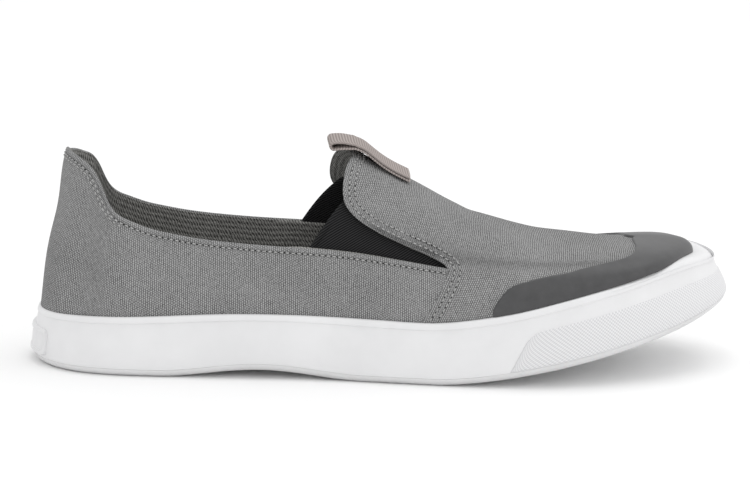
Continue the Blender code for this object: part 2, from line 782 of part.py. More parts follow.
def make_loop():
    """Webbing folded double and sewn to the vamp: its fold stands open over the throat."""
    count = 14
    x = np.linspace(STRAP_BACK, STRAP_FRONT, count)
    ridge = RIDGE_HEIGHT * column(RIDGE, "height", np.maximum(x, THROAT) / LENGTH)
    slope = np.gradient(ridge, x)
    lift = STRAP_RISE * column(STRAP_PATH, "lift", (x - THROAT) / LENGTH, "ahead")
    base = ridge + (SEAM_STEP + 2 * GAP) * np.sqrt(1 + slope**2) + lift
    lifted = np.clip((STRAP_LIFT - x) / STRAP_SLIT, 0, 1)
    thick = 2 * STRAP + STRAP_OPEN * np.sin(np.pi / 2 * lifted)
    outer = np.concatenate([[[x[0] - STRAP * 0.7, base[0] + thick[0] / 2]],
                            np.stack([x, base + thick], 1), np.stack([x, base], 1)[::-1]])
    slit_x = np.linspace(STRAP_BACK + STRAP * 0.3, STRAP_FRONT - STRAP, count)
    slit_low = np.interp(slit_x, x, base) + STRAP
    slit_high = np.interp(slit_x, x, base + thick) - STRAP
    slit_high = np.maximum(slit_high, slit_low + GAP)
    inner = np.concatenate([[[slit_x[0] - GAP, (slit_low[0] + slit_high[0]) / 2]],
                            np.stack([slit_x, slit_high], 1), np.stack([slit_x, slit_low], 1)[::-1]])
    middle_y = crest(station(STRAP_FRONT))[1]
    seated = 1 - 0.6 * lifted
    drop = np.concatenate([seated[:1], seated, seated[::-1]])
    outer_rows = []
    inner_rows = []
    for share in (-1, -0.5, 0, 0.5, 1):
        y = middle_y + share * STRAP_WIDTH / 2
        sag = STRAP_CROWN * share**2
        slit_sag = sag * np.interp(inner[:, 0], x, seated)
        outer_rows.append(np.insert(outer - np.outer(sag * drop, [0, 1]), 1, y, axis=1))
        inner_rows.append(np.insert(inner - np.outer(slit_sag, [0, 1]), 1, y, axis=1))
    grids = [(np.stack(outer_rows), True), (np.stack(inner_rows), True)]
    grids += [(np.stack([outer_rows[i], inner_rows[i]]), True) for i in (0, -1)]
    return solid("pull_loop", grids, principled("webbing", "#a39a97", 0.85))


for thing in list(bpy.data.objects):
    bpy.data.objects.remove(thing)
make_outsole()
make_cup()
make_bumper()
make_label()
make_insole()
make_upper()
make_guard()
make_gore("gore_outer", 0)
make_gore("gore_inner", 1)
make_loop()
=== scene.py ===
"""Slip-on canvas sneaker for the right foot: the finish of every surface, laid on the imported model.

Metres, +X to the toe, +Y to the inner side, +Z up. A place round the shoe is one number, s: 0 at the heel's back,
up the outer side to 1 at the toe's tip, and back along the inner side to 2. Patterns are in millimetres.
"""

import bmesh
import bpy
import numpy as np
from mathutils import Matrix


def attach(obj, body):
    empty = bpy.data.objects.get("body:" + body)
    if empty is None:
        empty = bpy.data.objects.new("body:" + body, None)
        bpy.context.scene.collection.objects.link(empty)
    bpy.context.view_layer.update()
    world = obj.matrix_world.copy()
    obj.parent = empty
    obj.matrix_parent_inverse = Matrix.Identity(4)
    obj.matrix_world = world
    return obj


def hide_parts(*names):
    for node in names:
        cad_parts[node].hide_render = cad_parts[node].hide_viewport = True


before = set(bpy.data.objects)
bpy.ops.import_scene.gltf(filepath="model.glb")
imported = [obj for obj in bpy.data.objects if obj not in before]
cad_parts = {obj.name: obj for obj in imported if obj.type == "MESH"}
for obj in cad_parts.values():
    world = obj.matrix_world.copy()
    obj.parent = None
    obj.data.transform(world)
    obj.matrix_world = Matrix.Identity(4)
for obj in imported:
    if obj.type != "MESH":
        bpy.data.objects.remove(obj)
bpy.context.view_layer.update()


# Tread: a thin white rubber sheet, moulded with bars, a centre channel and a fine cross grain, cemented under
# the cup. Its plan, arch and toe spring are those of the whole shoe, so the outline's functions start here.
LENGTH = 0.290
BALL_WIDTH = 0.103
TOE_SPRING = 0.0262
ARCH_LIFT = 0.0033
OUTSOLE = 0.0030
EDGE_ROUND = 0.0032
SIDE_LEAN = 0.0024
TOE_LEAN = 0.0062
RIM_HEIGHT = 0.0245
GAP = 0.0003
MIDDLE = np.array([0.1444, -0.00039608, 0])
TREAD_PITCH = 0.0155
TREAD_GROOVE = 0.0045
TREAD_DEPTH = 0.0020
TREAD_EDGE = 0.0008
TREAD_BOW = 0.0070
TREAD_START = 0.014
TREAD_END = 0.268


def table(columns, *rows):
    """A short table of sections: one array for each named column."""
    return dict(zip(columns.split(), np.array(rows, float).T))


OUTLINE = table(
    "along outer inner",
    (0.00, 0.000, 0.000),
    (0.02, -0.184, 0.184),
    (0.06, -0.286, 0.286),
    (0.12, -0.340, 0.335),
    (0.20, -0.359, 0.340),
    (0.30, -0.369, 0.325),
    (0.40, -0.393, 0.316),
    (0.50, -0.442, 0.340),
    (0.60, -0.490, 0.403),
    (0.68, -0.505, 0.461),
    (0.76, -0.485, 0.495),
    (0.84, -0.417, 0.485),
    (0.91, -0.311, 0.427),
    (0.96, -0.180, 0.340),
    (1.00, 0.087, 0.087),
)
RIM = table(
    "along height",
    (0.00, 0.915),
    (0.04, 0.955),
    (0.12, 0.995),
    (0.27, 1.08),
    (0.39, 1.085),
    (0.50, 1.06),
    (0.57, 1.065),
    (0.62, 1.14),
    (0.68, 1.27),
    (0.74, 1.44),
    (0.80, 1.60),
    (0.86, 1.743),
    (0.92, 1.875),
    (0.96, 1.90),
    (1.00, 1.86),
)
WALL = table(
    "level round side toe",
    (0.00, 1.00, 0.00, 0.00),
    (0.05, 0.45, 0.00, 0.00),
    (0.14, 0.10, 0.00, 0.00),
    (0.30, 0.00, 0.03, 0.10),
    (0.50, 0.00, 0.18, 0.36),
    (0.67, 0.00, 0.40, 0.64),
    (0.80, 0.00, 0.62, 0.82),
    (1.00, 0.00, 1.00, 1.00),
)


def cubic(x, y, at):
    """Natural cubic curve: the bends at the points x, y come from one linear system, solved once."""
    step = np.diff(x)
    slope = np.diff(y) / step
    size = len(x)
    matrix = np.eye(size)
    right = np.zeros(size)
    inner = np.arange(1, size - 1)
    matrix[inner, inner - 1] = step[:-1]
    matrix[inner, inner] = 2 * (step[:-1] + step[1:])
    matrix[inner, inner + 1] = step[1:]
    right[inner] = 6 * np.diff(slope)
    bend = np.linalg.solve(matrix, right)
    i = np.clip(np.searchsorted(x, at) - 1, 0, size - 2)
    a = (x[i + 1] - at) / step[i]
    b = 1 - a
    curve = (a**3 - a) * bend[i] + (b**3 - b) * bend[i + 1]
    return a * y[i] + b * y[i + 1] + curve * step[i] ** 2 / 6


def column(rows, name, at, key="along"):
    """One column of a table, read at any place between its first and last row."""
    return cubic(rows[key], rows[name], np.clip(at, rows[key][0], rows[key][-1]))


def ease(value):
    """0 to 1 with flat ends: 3 v squared less 2 v cubed."""
    value = np.clip(value, 0, 1)
    return value * value * (3 - 2 * value)


def station(x):
    """The place s on the outer side at a distance from the heel: the angle whose cosine falls from 1 to -1."""
    return np.arccos(1 - 2 * np.asarray(x, float) / LENGTH) / np.pi


def distance(s):
    """Distance from the heel's back of a place round the shoe."""
    return LENGTH * (1 - np.cos(np.pi * np.asarray(s, float))) / 2


def outline(s):
    """Plan of the sole at its widest: the table's two sides, joined at heel and toe."""
    s = np.mod(np.asarray(s, float), 2)
    u = np.where(s <= 1, s, 2 - s)
    rows = station(OUTLINE["along"] * LENGTH)
    outer = cubic(rows, OUTLINE["outer"], u)
    inner = cubic(rows, OUTLINE["inner"], u)
    return np.stack([distance(u), np.where(s <= 1, outer, inner) * BALL_WIDTH], -1)


def inset(s, depth):
    """Plan moved in by a depth, square to the outline."""
    nudge = 1e-4
    run = outline(np.asarray(s) + nudge) - outline(np.asarray(s) - nudge)
    run /= np.linalg.norm(run, axis=-1, keepdims=True)
    inward = np.stack([-run[..., 1], run[..., 0]], -1)
    return outline(s) + inward * np.asarray(depth)[..., None]


def point(plan, z):
    """A place in plan with its height."""
    return np.concatenate([plan, np.broadcast_to(z, plan.shape[:-1])[..., None]], -1)


def ground(x):
    """Underside: flat under heel and ball, lifted at the arch by a squared sine, rising to the toe as a power."""
    share = np.asarray(x) / LENGTH
    arch = ARCH_LIFT * np.sin(np.pi * np.clip((share - 0.17) / 0.30, 0, 1)) ** 2
    spring = TOE_SPRING * np.clip((share - 0.57) / 0.43, 0, None) ** 1.4
    return arch + spring


def rim(s):
    """Height of the top of the sole's wall."""
    return RIM_HEIGHT * column(RIM, "height", distance(s) / LENGTH)


def toe_share(s):
    """0 along the sides, 1 round the toe."""
    return ease((distance(s) / LENGTH - 0.74) / 0.24)


def wall(s, level, depth=0.0):
    """Outside of the sole at a level from its foot, 0, to its rim, 1: the outline, less its round and its lean."""
    toe = toe_share(s)
    lean = (1 - toe) * SIDE_LEAN * column(WALL, "side", level, "level")
    lean = lean + toe * TOE_LEAN * column(WALL, "toe", level, "level")
    plan = inset(s, EDGE_ROUND * column(WALL, "round", level, "level") + lean + depth)
    return point(plan, (1 - level) * ground(plan[..., 0]) + level * rim(s))


def level_at(s, height):
    """Level of the wall at a height over the shoe's underside."""
    return height / (rim(s) - ground(distance(s)))


def across(outer, inner, shares, height):
    """Rows from the outer side to the inner side, on a surface whose height is a function of x."""
    plan = outer[:, None, :2] * (1 - shares[:, None]) + inner[:, None, :2] * shares[:, None]
    return point(plan, height(plan[..., 0]))


def run_length(points, axis):
    """Length walked along an axis of a grid, in millimetres."""
    steps = np.linalg.norm(np.diff(points, axis=axis), axis=-1)
    start = np.zeros_like(np.take(steps, [0], axis=axis))
    return 1000 * np.cumsum(np.concatenate([start, steps], axis), axis)


def even_uv(points, turn=False):
    """Pattern coordinates of a grid: up each column, and along the middle row. Turned, the two change places."""
    middle = run_length(points, 1)[len(points) // 2]
    along = np.broadcast_to(middle, points.shape[:2])
    up = run_length(points, 0)
    return np.stack([up, along] if turn else [along, up], -1)


def piece(name, grids, material, node, sharp=180):
    """One piece from grids of points with their pattern coordinates. Grids are merged where they meet."""
    verts, faces, coords, start = [], [], [], 0
    for points, uv in grids:
        index = start + np.arange(points[..., 0].size).reshape(points.shape[:2])
        corners = np.stack([index[:-1, :-1], index[:-1, 1:], index[1:, 1:], index[1:, :-1]], -1)
        verts.append((points - MIDDLE).reshape(-1, 3))
        faces.append(corners.reshape(-1, 4))
        coords.append(uv.reshape(-1, 2))
        start += index.size
    faces = np.concatenate(faces)
    data = bpy.data.meshes.new(name)
    data.from_pydata(np.concatenate(verts), [], faces)
    data.uv_layers.new(name="pattern").data.foreach_set("uv", np.concatenate(coords)[faces.ravel()].ravel())
    mesh = bmesh.new()
    mesh.from_mesh(data)
    bmesh.ops.remove_doubles(mesh, verts=mesh.verts, dist=2e-6)
    bmesh.ops.holes_fill(mesh, edges=mesh.edges, sides=0)
    bmesh.ops.recalc_face_normals(mesh, faces=mesh.faces)
    mesh.to_mesh(data)
    mesh.free()
    data.materials.append(material)
    data.shade_smooth()
    data.set_sharp_from_angle(angle=np.radians(sharp))
    made = bpy.data.objects.new(name, data)
    bpy.context.scene.collection.objects.link(made)
    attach(made, "root")
    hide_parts(node)
    return made


def linear(colour):
    """An sRGB hex colour as linear light."""
    srgb = np.array([int(colour[i : i + 2], 16) / 255 for i in (1, 3, 5)])
    return (*np.where(srgb <= 0.04045, srgb / 12.92, ((srgb + 0.055) / 1.055) ** 2.4), 1)


def add(tree, kind, inputs, give=0, **settings):
    """Adds a node with its settings and inputs, each a value or another node's output, and gives one output."""
    made = tree.nodes.new("ShaderNode" + kind)
    for name, value in settings.items():
        setattr(made, name, value)
    for name, value in inputs.items():
        if isinstance(value, bpy.types.NodeSocket):
            tree.links.new(value, made.inputs[name])
        else:
            made.inputs[name].default_value = value
    return made.outputs[give]


def real_material(name, shader, colour=None, relief=None, rough=None):
    """A material: the shader's plain values, and the patterns that its colour, relief and roughness follow.

    Each pattern is a function that adds nodes to the tree. relief gives a height in millimetres."""
    material = bpy.data.materials.new(name)
    material.use_nodes = True
    tree = material.node_tree
    principled = tree.nodes["Principled BSDF"]
    for key, value in shader.items():
        principled.inputs[key].default_value = value
    if colour:
        tree.links.new(colour(tree), principled.inputs["Base Color"])
    if rough:
        tree.links.new(rough(tree), principled.inputs["Roughness"])
    if relief:
        bump = add(tree, "Bump", {"Height": relief(tree), "Distance": 0.001, "Strength": 1.0}, "Normal")
        tree.links.new(bump, principled.inputs["Normal"])
    return material


def grain(tree, scale, detail=3.0, rough=0.6):
    """Soft random grain from 0 to 1, with its size as a scale per metre."""
    place = add(tree, "TexCoord", {}, "Object")
    return add(tree, "TexNoise", {"Vector": place, "Scale": scale, "Detail": detail, "Roughness": rough}, "Fac")


def shades(tree, value, low, high, start=0.0, end=1.0):
    """A colour between two sRGB hex values, as the value goes from start to end."""
    share = add(tree, "MapRange", {"Value": value, "From Min": start, "From Max": end})
    return add(tree, "Mix", {"Factor": share, 6: linear(low), 7: linear(high)}, 2, data_type="RGBA")


# White rubber with a mineral filler, moulded: nearly matt, a little uneven in tone where it was handled.
tread_rubber = real_material(
    "tread rubber, moulded",
    {"Roughness": 0.62, "IOR": 1.52},
    colour=lambda tree: shades(tree, grain(tree, 60), "#d8d8d8", "#dededf", 0.3, 0.7),
    relief=lambda tree: add(tree, "Math", {0: grain(tree, 2400, 2), 1: 0.03}, operation="MULTIPLY"),
)
u = np.linspace(0, 1, 470)
u = 0.6 * station(u * LENGTH) + 0.4 * u
shares = np.linspace(0, 1, 67)
split_outer = level_at(u, OUTSOLE)
split_inner = level_at(2 - u, OUTSOLE)
bottom = across(wall(u, 0 * u), wall(2 - u, 0 * u), shares, ground)
x = bottom[..., 0]
bow = TREAD_BOW * (1 - (2 * shares - 1) ** 2) * ease((x / LENGTH - 0.05) / 0.1) * ease((0.93 - x / LENGTH) / 0.1)
walked = np.mod(x - bow - TREAD_START, TREAD_PITCH)
into_groove = np.minimum(walked - (TREAD_PITCH - TREAD_GROOVE), TREAD_PITCH - walked)
treaded = ease((x - TREAD_START) / 0.001) * ease((TREAD_END + 0.008 - x) / 0.001)
bar_depth = np.where(np.abs(shares - 0.5) < 0.42, TREAD_DEPTH, TREAD_EDGE)
groove = bar_depth * ease(into_groove / 0.0006) * treaded
channel = TREAD_DEPTH * ease((0.05 - np.abs(shares - 0.5)) / 0.02) * treaded
inside = ease(np.minimum(shares, 1 - shares) / 0.02)
bottom[..., 2] += np.maximum(groove, channel) * inside
top = across(wall(u, split_outer), wall(2 - u, split_inner), np.array([0, 0.5, 1]), lambda x: ground(x) + OUTSOLE)
rise = np.linspace(0, 1, 7)[:, None]
outer = wall(u, split_outer * rise)
inner = wall(2 - u, split_inner * rise)
outer[0], outer[-1], inner[0], inner[-1] = bottom[:, 0], top[:, 0], bottom[:, -1], top[:, -1]
sheets = (bottom, top, outer, inner)
tread = piece("tread", [(sheet, even_uv(sheet)) for sheet in sheets], tread_rubber, "outsole", 50)


# Cup: the white rubber shell that the canvas is cemented into, moulded in one with its side wall and the narrow
# rim band round its top. It is smooth and satin, with a soft round at the rim and a wide ledge in front of the toe.
HEEL_FLOOR = 0.0110
BALL_FLOOR = 0.0065
RIM_LEDGE = 0.0016
TOE_LEDGE = 0.0095
TOE_LEDGE_FROM = 0.88
TOE_FLARE = 0.0025
HEEL_SNUG = 0.020
RIM_PROUD = 0.0005
RIM_BAND = 0.12
RIM_ROUND = 0.0011
TOE_ROUND = 0.0052
JOINT = 0.00006


def canvas_inset(s):
    """How far in from the widest outline the canvas leaves the sole: the wall's lean, and the ledge inside it."""
    toe = toe_share(s)
    heel = 0.75 * ease(1 - distance(s) / HEEL_SNUG)
    tip = ease((distance(s) / LENGTH - TOE_LEDGE_FROM) / (1 - TOE_LEDGE_FROM))
    lean = (1 - toe) * SIDE_LEAN + toe * TOE_LEAN
    return lean + (1 - tip) * RIM_LEDGE * (1 - heel) + tip * TOE_LEDGE


def floor(x):
    """Top of the cup's floor: thicker under the heel."""
    heel = 1 - ease((np.asarray(x) / LENGTH - 0.30) / 0.30)
    return ground(x) + OUTSOLE + BALL_FLOOR + (HEEL_FLOOR - BALL_FLOOR) * heel


def lower_skin(s, down, depth=0.0):
    """Outside of the canvas within the cup, from the rim (down 0) to the floor (down 1)."""
    flare = TOE_FLARE * toe_share(s) * down
    plan = inset(s, canvas_inset(s) - flare + depth)
    return point(plan, rim(s) - down * (rim(s) - floor(plan[..., 0]) - GAP))


def ring(count):
    """Places along one side, closer together at heel and toe."""
    even = np.linspace(0, 1, count)
    return 0.45 * station(even * LENGTH) + 0.55 * even


def both_sides(u):
    """Places along the outer side to the toe, then back along the inner side to the heel, closed."""
    return np.concatenate([u, 2 - u[-2::-1]])


cup_rubber = real_material(
    "cup rubber, moulded",
    {"Roughness": 0.5, "IOR": 1.52, "Coat Weight": 0.12, "Coat Roughness": 0.4},
    colour=lambda tree: shades(tree, grain(tree, 45), "#dededf", "#e4e4e5", 0.3, 0.7),
    relief=lambda tree: add(tree, "Math", {0: grain(tree, 1600, 2), 1: 0.025}, operation="MULTIPLY"),
)
n = 300
u = ring(n)
s = both_sides(u)
band = 1 - RIM_BAND
toe = toe_share(s)
round_of = RIM_ROUND * (1 - toe) + TOE_ROUND * toe
levels = np.concatenate([np.linspace(0, band - 0.012, 26), np.linspace(band - 0.010, band + 0.010, 7), [0.91, 0.94]])
low = level_at(s, OUTSOLE + JOINT)
rows = []
for level in levels:
    here = low + (1 - low) * level
    lip = RIM_PROUD * ease((level - band + 0.010) / 0.020)
    edge = JOINT * np.exp(-level * 60)
    rows.append(wall(s, here, -lip + edge))
for turn in np.linspace(0.06, 1, 12) * np.pi / 2:
    top_edge = wall(s, np.ones_like(s), -RIM_PROUD + round_of * (1 - np.cos(turn)))
    drop = round_of * 0.8 * (1 - np.sin(turn))
    rows.append(top_edge - drop[:, None] * [0, 0, 1])
rim_end = rows[-1]
canvas_foot = lower_skin(s, 0.0, -GAP)
for share in (0.35, 0.7, 1.0):
    rows.append(rim_end * (1 - share) + canvas_foot * share)
for down in (0.1, 0.4, 0.7, 1.0):
    rows.append(lower_skin(s, down, -GAP))
rows[0][:, 2] = ground(rows[0][:, 0]) + OUTSOLE + JOINT
rows[-1][:, 2] = floor(rows[-1][:, 0])
side = np.stack(rows)
back_again = np.arange(2 * n - 2, n - 2, -1)
halves = np.array([0, 0.5, 1])
base = across(side[0, :n], side[0, back_again], halves, lambda x: ground(x) + OUTSOLE + JOINT)
lid = across(side[-1, :n], side[-1, back_again], halves, floor)
cup = piece("cup", [(sheet, even_uv(sheet)) for sheet in (side, base, lid)], cup_rubber, "sole_cup", 60)


# Toe bumper: a white rubber strip wrapped round the toe and cemented to the cup, a little proud of it. Its face
# is moulded with a fine net of crossing ribs, and its back ends lean forward and turn into the top in a round.
BUMPER_TOP = 0.67
BUMPER_BACK = 0.1970
BUMPER_SLANT = 0.0100
BUMPER_FADE = 0.020
BUMPER_PROUD = 0.0004
BUMPER_CORNER = 0.0050
NET_PITCH = 1.5


def slanted(s, level):
    """Places moved so that the bumper's back end leans forward as it rises."""
    x = distance(s)
    near = np.exp(-(((x - BUMPER_BACK) / BUMPER_FADE) ** 2))
    moved = x + BUMPER_SLANT * near * (np.clip(level / BUMPER_TOP, 0, 1.2) - 0.5)
    u = station(np.clip(moved, 0, LENGTH))
    return np.where(np.mod(s, 2) <= 1, u, 2 - u)


def net(tree):
    """Crossing ribs from 0 to 1: the product of two cosines puts a dot at each crossing of a diagonal net."""
    uv = add(tree, "UVMap", {}, uv_map="pattern")
    turned = add(tree, "VectorMath", {0: uv, "Scale": 2 * np.pi / NET_PITCH}, operation="SCALE")
    waves = [add(tree, "Math", {0: add(tree, "SeparateXYZ", {0: turned}, way)}, operation="COSINE") for way in "XY"]
    dots = add(tree, "Math", {0: waves[0], 1: waves[1]}, operation="MULTIPLY")
    return add(tree, "Math", {0: dots, 1: 0.5, 2: 0.5}, operation="MULTIPLY_ADD")


bumper_rubber = real_material(
    "bumper rubber, moulded",
    {"Roughness": 0.58, "IOR": 1.52},
    # Painted shade: the net's valleys are coloured darker than its raised dots.
    colour=lambda tree: shades(tree, net(tree), "#cdcdcf", "#e6e6e7", 0.25, 0.75),
    relief=lambda tree: add(tree, "Math", {0: net(tree), 1: 0.10}, operation="MULTIPLY"),
)
count = 340
start = BUMPER_BACK + 3 * GAP
u = station(start + (LENGTH - start) * np.linspace(0, 1, count) ** 1.15)
u[-1] = 1.0
s = both_sides(u)
ahead = distance(s) - start
corner = np.clip(1 - ahead / BUMPER_CORNER, 0, 1)
tall = rim(s) - ground(distance(s))
low = level_at(s, OUTSOLE + GAP)
high = BUMPER_TOP - GAP / RIM_HEIGHT - BUMPER_CORNER * (1 - np.sqrt(1 - corner**2)) / tall
shares = np.linspace(0, 1, 44)[:, None]
level = low + (high - low) * shares
places = slanted(np.broadcast_to(s, level.shape), level)
flat = wall(places, level)
upward = run_length(flat, 0)
from_edge = np.minimum(np.minimum(upward, upward[-1] - upward), 1000 * np.minimum(ahead, ahead[::-1] + 1))
soft_edge = np.clip(from_edge / 0.6, 0, 1)
proud = BUMPER_PROUD * np.sqrt(1 - (1 - soft_edge) ** 2)
face = wall(places, level, -proud)
behind = wall(places, level, 0.0006)
joined = np.concatenate([face, behind[::-1], face[:1]])
ends = [np.stack([face[:, j], behind[:, j]]) for j in (0, -1)]
pattern = np.stack([np.broadcast_to(run_length(flat, 1)[-1], level.shape), upward], -1)
sheets = [(joined, np.concatenate([pattern, pattern[::-1], pattern[:1]]))] + [(end, even_uv(end)) for end in ends]
bumper = piece("bumper", sheets, bumper_rubber, "toe_bumper", 70)


# Heel plate: a small white rubber plate with a raised frame, cemented to the back of the cup. The real one has
# lettering inside its frame, and this one is plain.
LABEL_WIDTH = 0.036
LABEL_LOW = 0.0045
LABEL_HIGH = 0.0165
LABEL_THICK = 0.0011
LABEL_FRAME = 0.0006
LABEL_EDGE = 0.0016
CORNER_ROUND = 0.0030
plate_rubber = real_material(
    "plate rubber, moulded",
    {"Roughness": 0.52, "IOR": 1.52},
    colour=lambda tree: shades(tree, grain(tree, 90), "#dcdcdd", "#e3e3e4", 0.3, 0.7),
    relief=lambda tree: add(tree, "Math", {0: grain(tree, 1800, 2), 1: 0.03}, operation="MULTIPLY"),
)
half = LABEL_WIDTH / 2
steps = np.linspace(0, 0.3, 301)
reach = np.interp(half, -outline(steps)[:, 1], steps)
s = np.linspace(-reach, reach, 121)
heights = np.linspace(LABEL_LOW, LABEL_HIGH, 61)[:, None]
walked = run_length(wall(s, level_at(s, 0.010))[None], 1)[0] / 1000
sideways = np.minimum(walked, walked[-1] - walked)
upright = np.minimum(heights - LABEL_LOW, LABEL_HIGH - heights)
corner_x = np.clip(CORNER_ROUND - sideways, 0, None)
corner_z = np.clip(CORNER_ROUND - upright, 0, None)
rounded = CORNER_ROUND - np.hypot(corner_x, corner_z)
edge = np.where((corner_x > 0) & (corner_z > 0), rounded, np.minimum(sideways, upright))
body = np.sqrt(1 - (1 - np.clip(edge / 0.0007, 0, 1)) ** 2)
sunk = LABEL_FRAME * ease((edge - LABEL_EDGE) / 0.0004)
level = np.broadcast_to(heights / RIM_HEIGHT, edge.shape)
proud = (LABEL_THICK + GAP) * body - sunk * (body >= 1)
places = np.broadcast_to(s, edge.shape)
face = wall(places, level, -np.where(edge < 0, -0.0004, proud))
behind = wall(places, level, 0.0006)
sheets = [face, behind] + [np.stack([face[i], behind[i]]) for i in (0, -1)]
sheets += [np.stack([face[:, j], behind[:, j]]) for j in (0, -1)]
plate = piece("heel_plate", [(sheet, even_uv(sheet)) for sheet in sheets], plate_rubber, "heel_label", 60)


# Insole: a sheet of foam faced with a fine grey knit, cut to the inside of the shoe and laid on the cup's floor.
# It dips under the heel and the ball, and its edge is turned up a little against the wall.
INSOLE = 0.0040
CANVAS = 0.0020
INSOLE_DISH = 0.0011
insole_knit = real_material(
    "foam faced with knit",
    {"Roughness": 0.92, "Sheen Weight": 0.25, "Sheen Roughness": 0.5},
    colour=lambda tree: shades(tree, grain(tree, 700, 4), "#5a5955", "#77766f", 0.3, 0.7),
    relief=lambda tree: add(tree, "Math", {0: grain(tree, 1500, 2), 1: 0.25}, operation="MULTIPLY"),
)
u = ring(150)
down = 1 - (INSOLE + 2 * GAP) / (rim(u) - floor(distance(u)))
depth = CANVAS + GAP + canvas_inset(u) - TOE_FLARE * toe_share(u) * down
shares = np.linspace(0, 1, 41)
low = across(point(inset(u, depth), 0), point(inset(2 - u, depth), 0), shares, lambda x: floor(x) + GAP)
dish = INSOLE_DISH * (1 - (2 * shares - 1) ** 4)
edge_round = 0.0012 * (1 - np.sqrt(1 - np.clip(1 - np.minimum(shares, 1 - shares) / 0.03, 0, 1) ** 2))
high = low + (INSOLE - dish - edge_round)[:, None] * [0, 0, 1]
sheets = [low, high] + [np.stack([low[:, j], high[:, j]]) for j in (0, -1)]
insole = piece("insole_sheet", [(sheet, even_uv(sheet)) for sheet in sheets], insole_knit, "insole", 60)


# Canvas quarters: one strip of heavy plain-woven grey canvas from seam to seam round the heel, its top edge
# folded in and stitched down. Threads stand upright, with a thick warp that shows as fine columns of dots.
RIDGE_HEIGHT = 0.118
COLLAR_HEIGHT = 0.0870
VAMP_TOP = 0.0885
SEAM_STEP = 0.0005
SEAM_SLANT = 0.0110
SEAM_FADE = 0.022
NOTCH = 0.5835 * LENGTH
HEEL_BEND = 0.080
HEEL_HOLLOW = 0.0020
HEEL_HOLLOW_Z = 0.066
HEEL_HOLLOW_TALL = 0.015
HEEL_HOLLOW_LONG = 0.016
TAB_DROP = 0.0019
TOE_BEND = 0.205
RIDGE_SHIFT = 0.0025
CLOTH = 0.0010
FOLD = 0.0013
RIDGE = table(
    "along height",
    (0.138, 1.000),
    (0.200, 0.993),
    (0.300, 0.945),
    (0.380, 0.858),
    (0.430, 0.785),
    (0.457, 0.750),
    (0.507, 0.686),
    (0.559, 0.619),
    (0.586, 0.582),
    (0.617, 0.546),
    (0.645, 0.521),
    (0.676, 0.4975),
    (0.703, 0.478),
    (0.731, 0.4655),
    (0.762, 0.456),
    (0.800, 0.443),
    (0.854, 0.4265),
)
SECTION = table(
    "along lean rise shoulder inner_rise inner_shoulder",
    (0.00, 0.08, 0.33, 0.16, 0.33, 0.16),
    (0.10, 0.09, 0.34, 0.28, 0.34, 0.28),
    (0.25, 0.07, 0.35, 0.40, 0.35, 0.40),
    (0.40, 0.01, 0.42, 0.38, 0.42, 0.38),
    (0.50, -0.02, 0.47, 0.36, 0.40, 0.44),
    (0.60, -0.02, 0.60, 0.36, 0.33, 0.56),
    (0.70, -0.01, 0.75, 0.36, 0.27, 0.65),
    (0.85, 0.00, 0.80, 0.36, 0.15, 0.85),
    (0.94, 0.01, 0.85, 0.30, 0.30, 0.70),
    (1.00, 0.02, 0.90, 0.20, 0.90, 0.20),
)
COLLAR = table(
    "along height",
    (0.000, 1.014),
    (0.050, 1.012),
    (0.067, 0.987),
    (0.081, 0.948),
    (0.094, 0.871),
    (0.103, 0.806),
    (0.114, 0.759),
    (0.134, 0.724),
    (0.158, 0.695),
    (0.188, 0.672),
    (0.223, 0.652),
    (0.273, 0.634),
    (0.332, 0.621),
    (0.402, 0.611),
    (0.461, 0.597),
    (0.511, 0.577),
    (0.585, 0.546),
)
VAMP_EDGE = table(
    "up along height",
    (0.00, 0.5835, 0.5345),
    (0.08, 0.577, 0.5615),
    (0.17, 0.560, 0.590),
    (0.27, 0.538, 0.619),
    (0.36, 0.514, 0.646),
    (0.46, 0.488, 0.6825),
    (0.55, 0.462, 0.7265),
    (0.61, 0.448, 0.764),
    (0.66, 0.4395, 0.798),
    (0.74, 0.4355, 0.864),
    (0.85, 0.4405, 0.949),
    (1.00, 0.4535, 0.997),
)
# Folds and creases, as soft troughs and ridges: where they lie along the shoe and how high, how long and wide
# they are, how they lean, and how deep they go
CREASES = table(
    "x z length width lean depth",
    (0.176, 0.060, 0.020, 0.0040, 0.9, 0.00045),
    (0.189, 0.046, 0.016, 0.0036, 0.9, 0.00040),
    (0.198, 0.052, 0.018, 0.0040, 0.8, -0.00030),
    (0.120, 0.038, 0.022, 0.0050, 0.3, 0.00040),
    (0.070, 0.040, 0.018, 0.0050, -0.5, 0.00045),
    (0.036, 0.045, 0.014, 0.0045, 0.7, 0.00040),
    (0.152, 0.033, 0.016, 0.0045, 0.5, -0.00030),
)


def crest(s):
    """Point of the ridge on which a rib ends. Ribs at the heel and the toe end where a parabola slows them down."""
    x = distance(s)
    heel = np.clip((HEEL_BEND - x) / HEEL_BEND, 0, 1)
    toe = np.clip((x - TOE_BEND) / (LENGTH - TOE_BEND), 0, 1)
    x = np.where(x < HEEL_BEND, HEEL_BEND - HEEL_BEND * (heel - heel**2 / 2), x)
    x = np.where(x > TOE_BEND, TOE_BEND + (LENGTH - TOE_BEND) * (toe - toe**2 / 2), x)
    u = station(x)
    middle = (outline(u)[..., 1] + outline(2 - u)[..., 1]) / 2 + RIDGE_SHIFT
    return np.stack([x, middle, RIDGE_HEIGHT * column(RIDGE, "height", x / LENGTH)], -1)


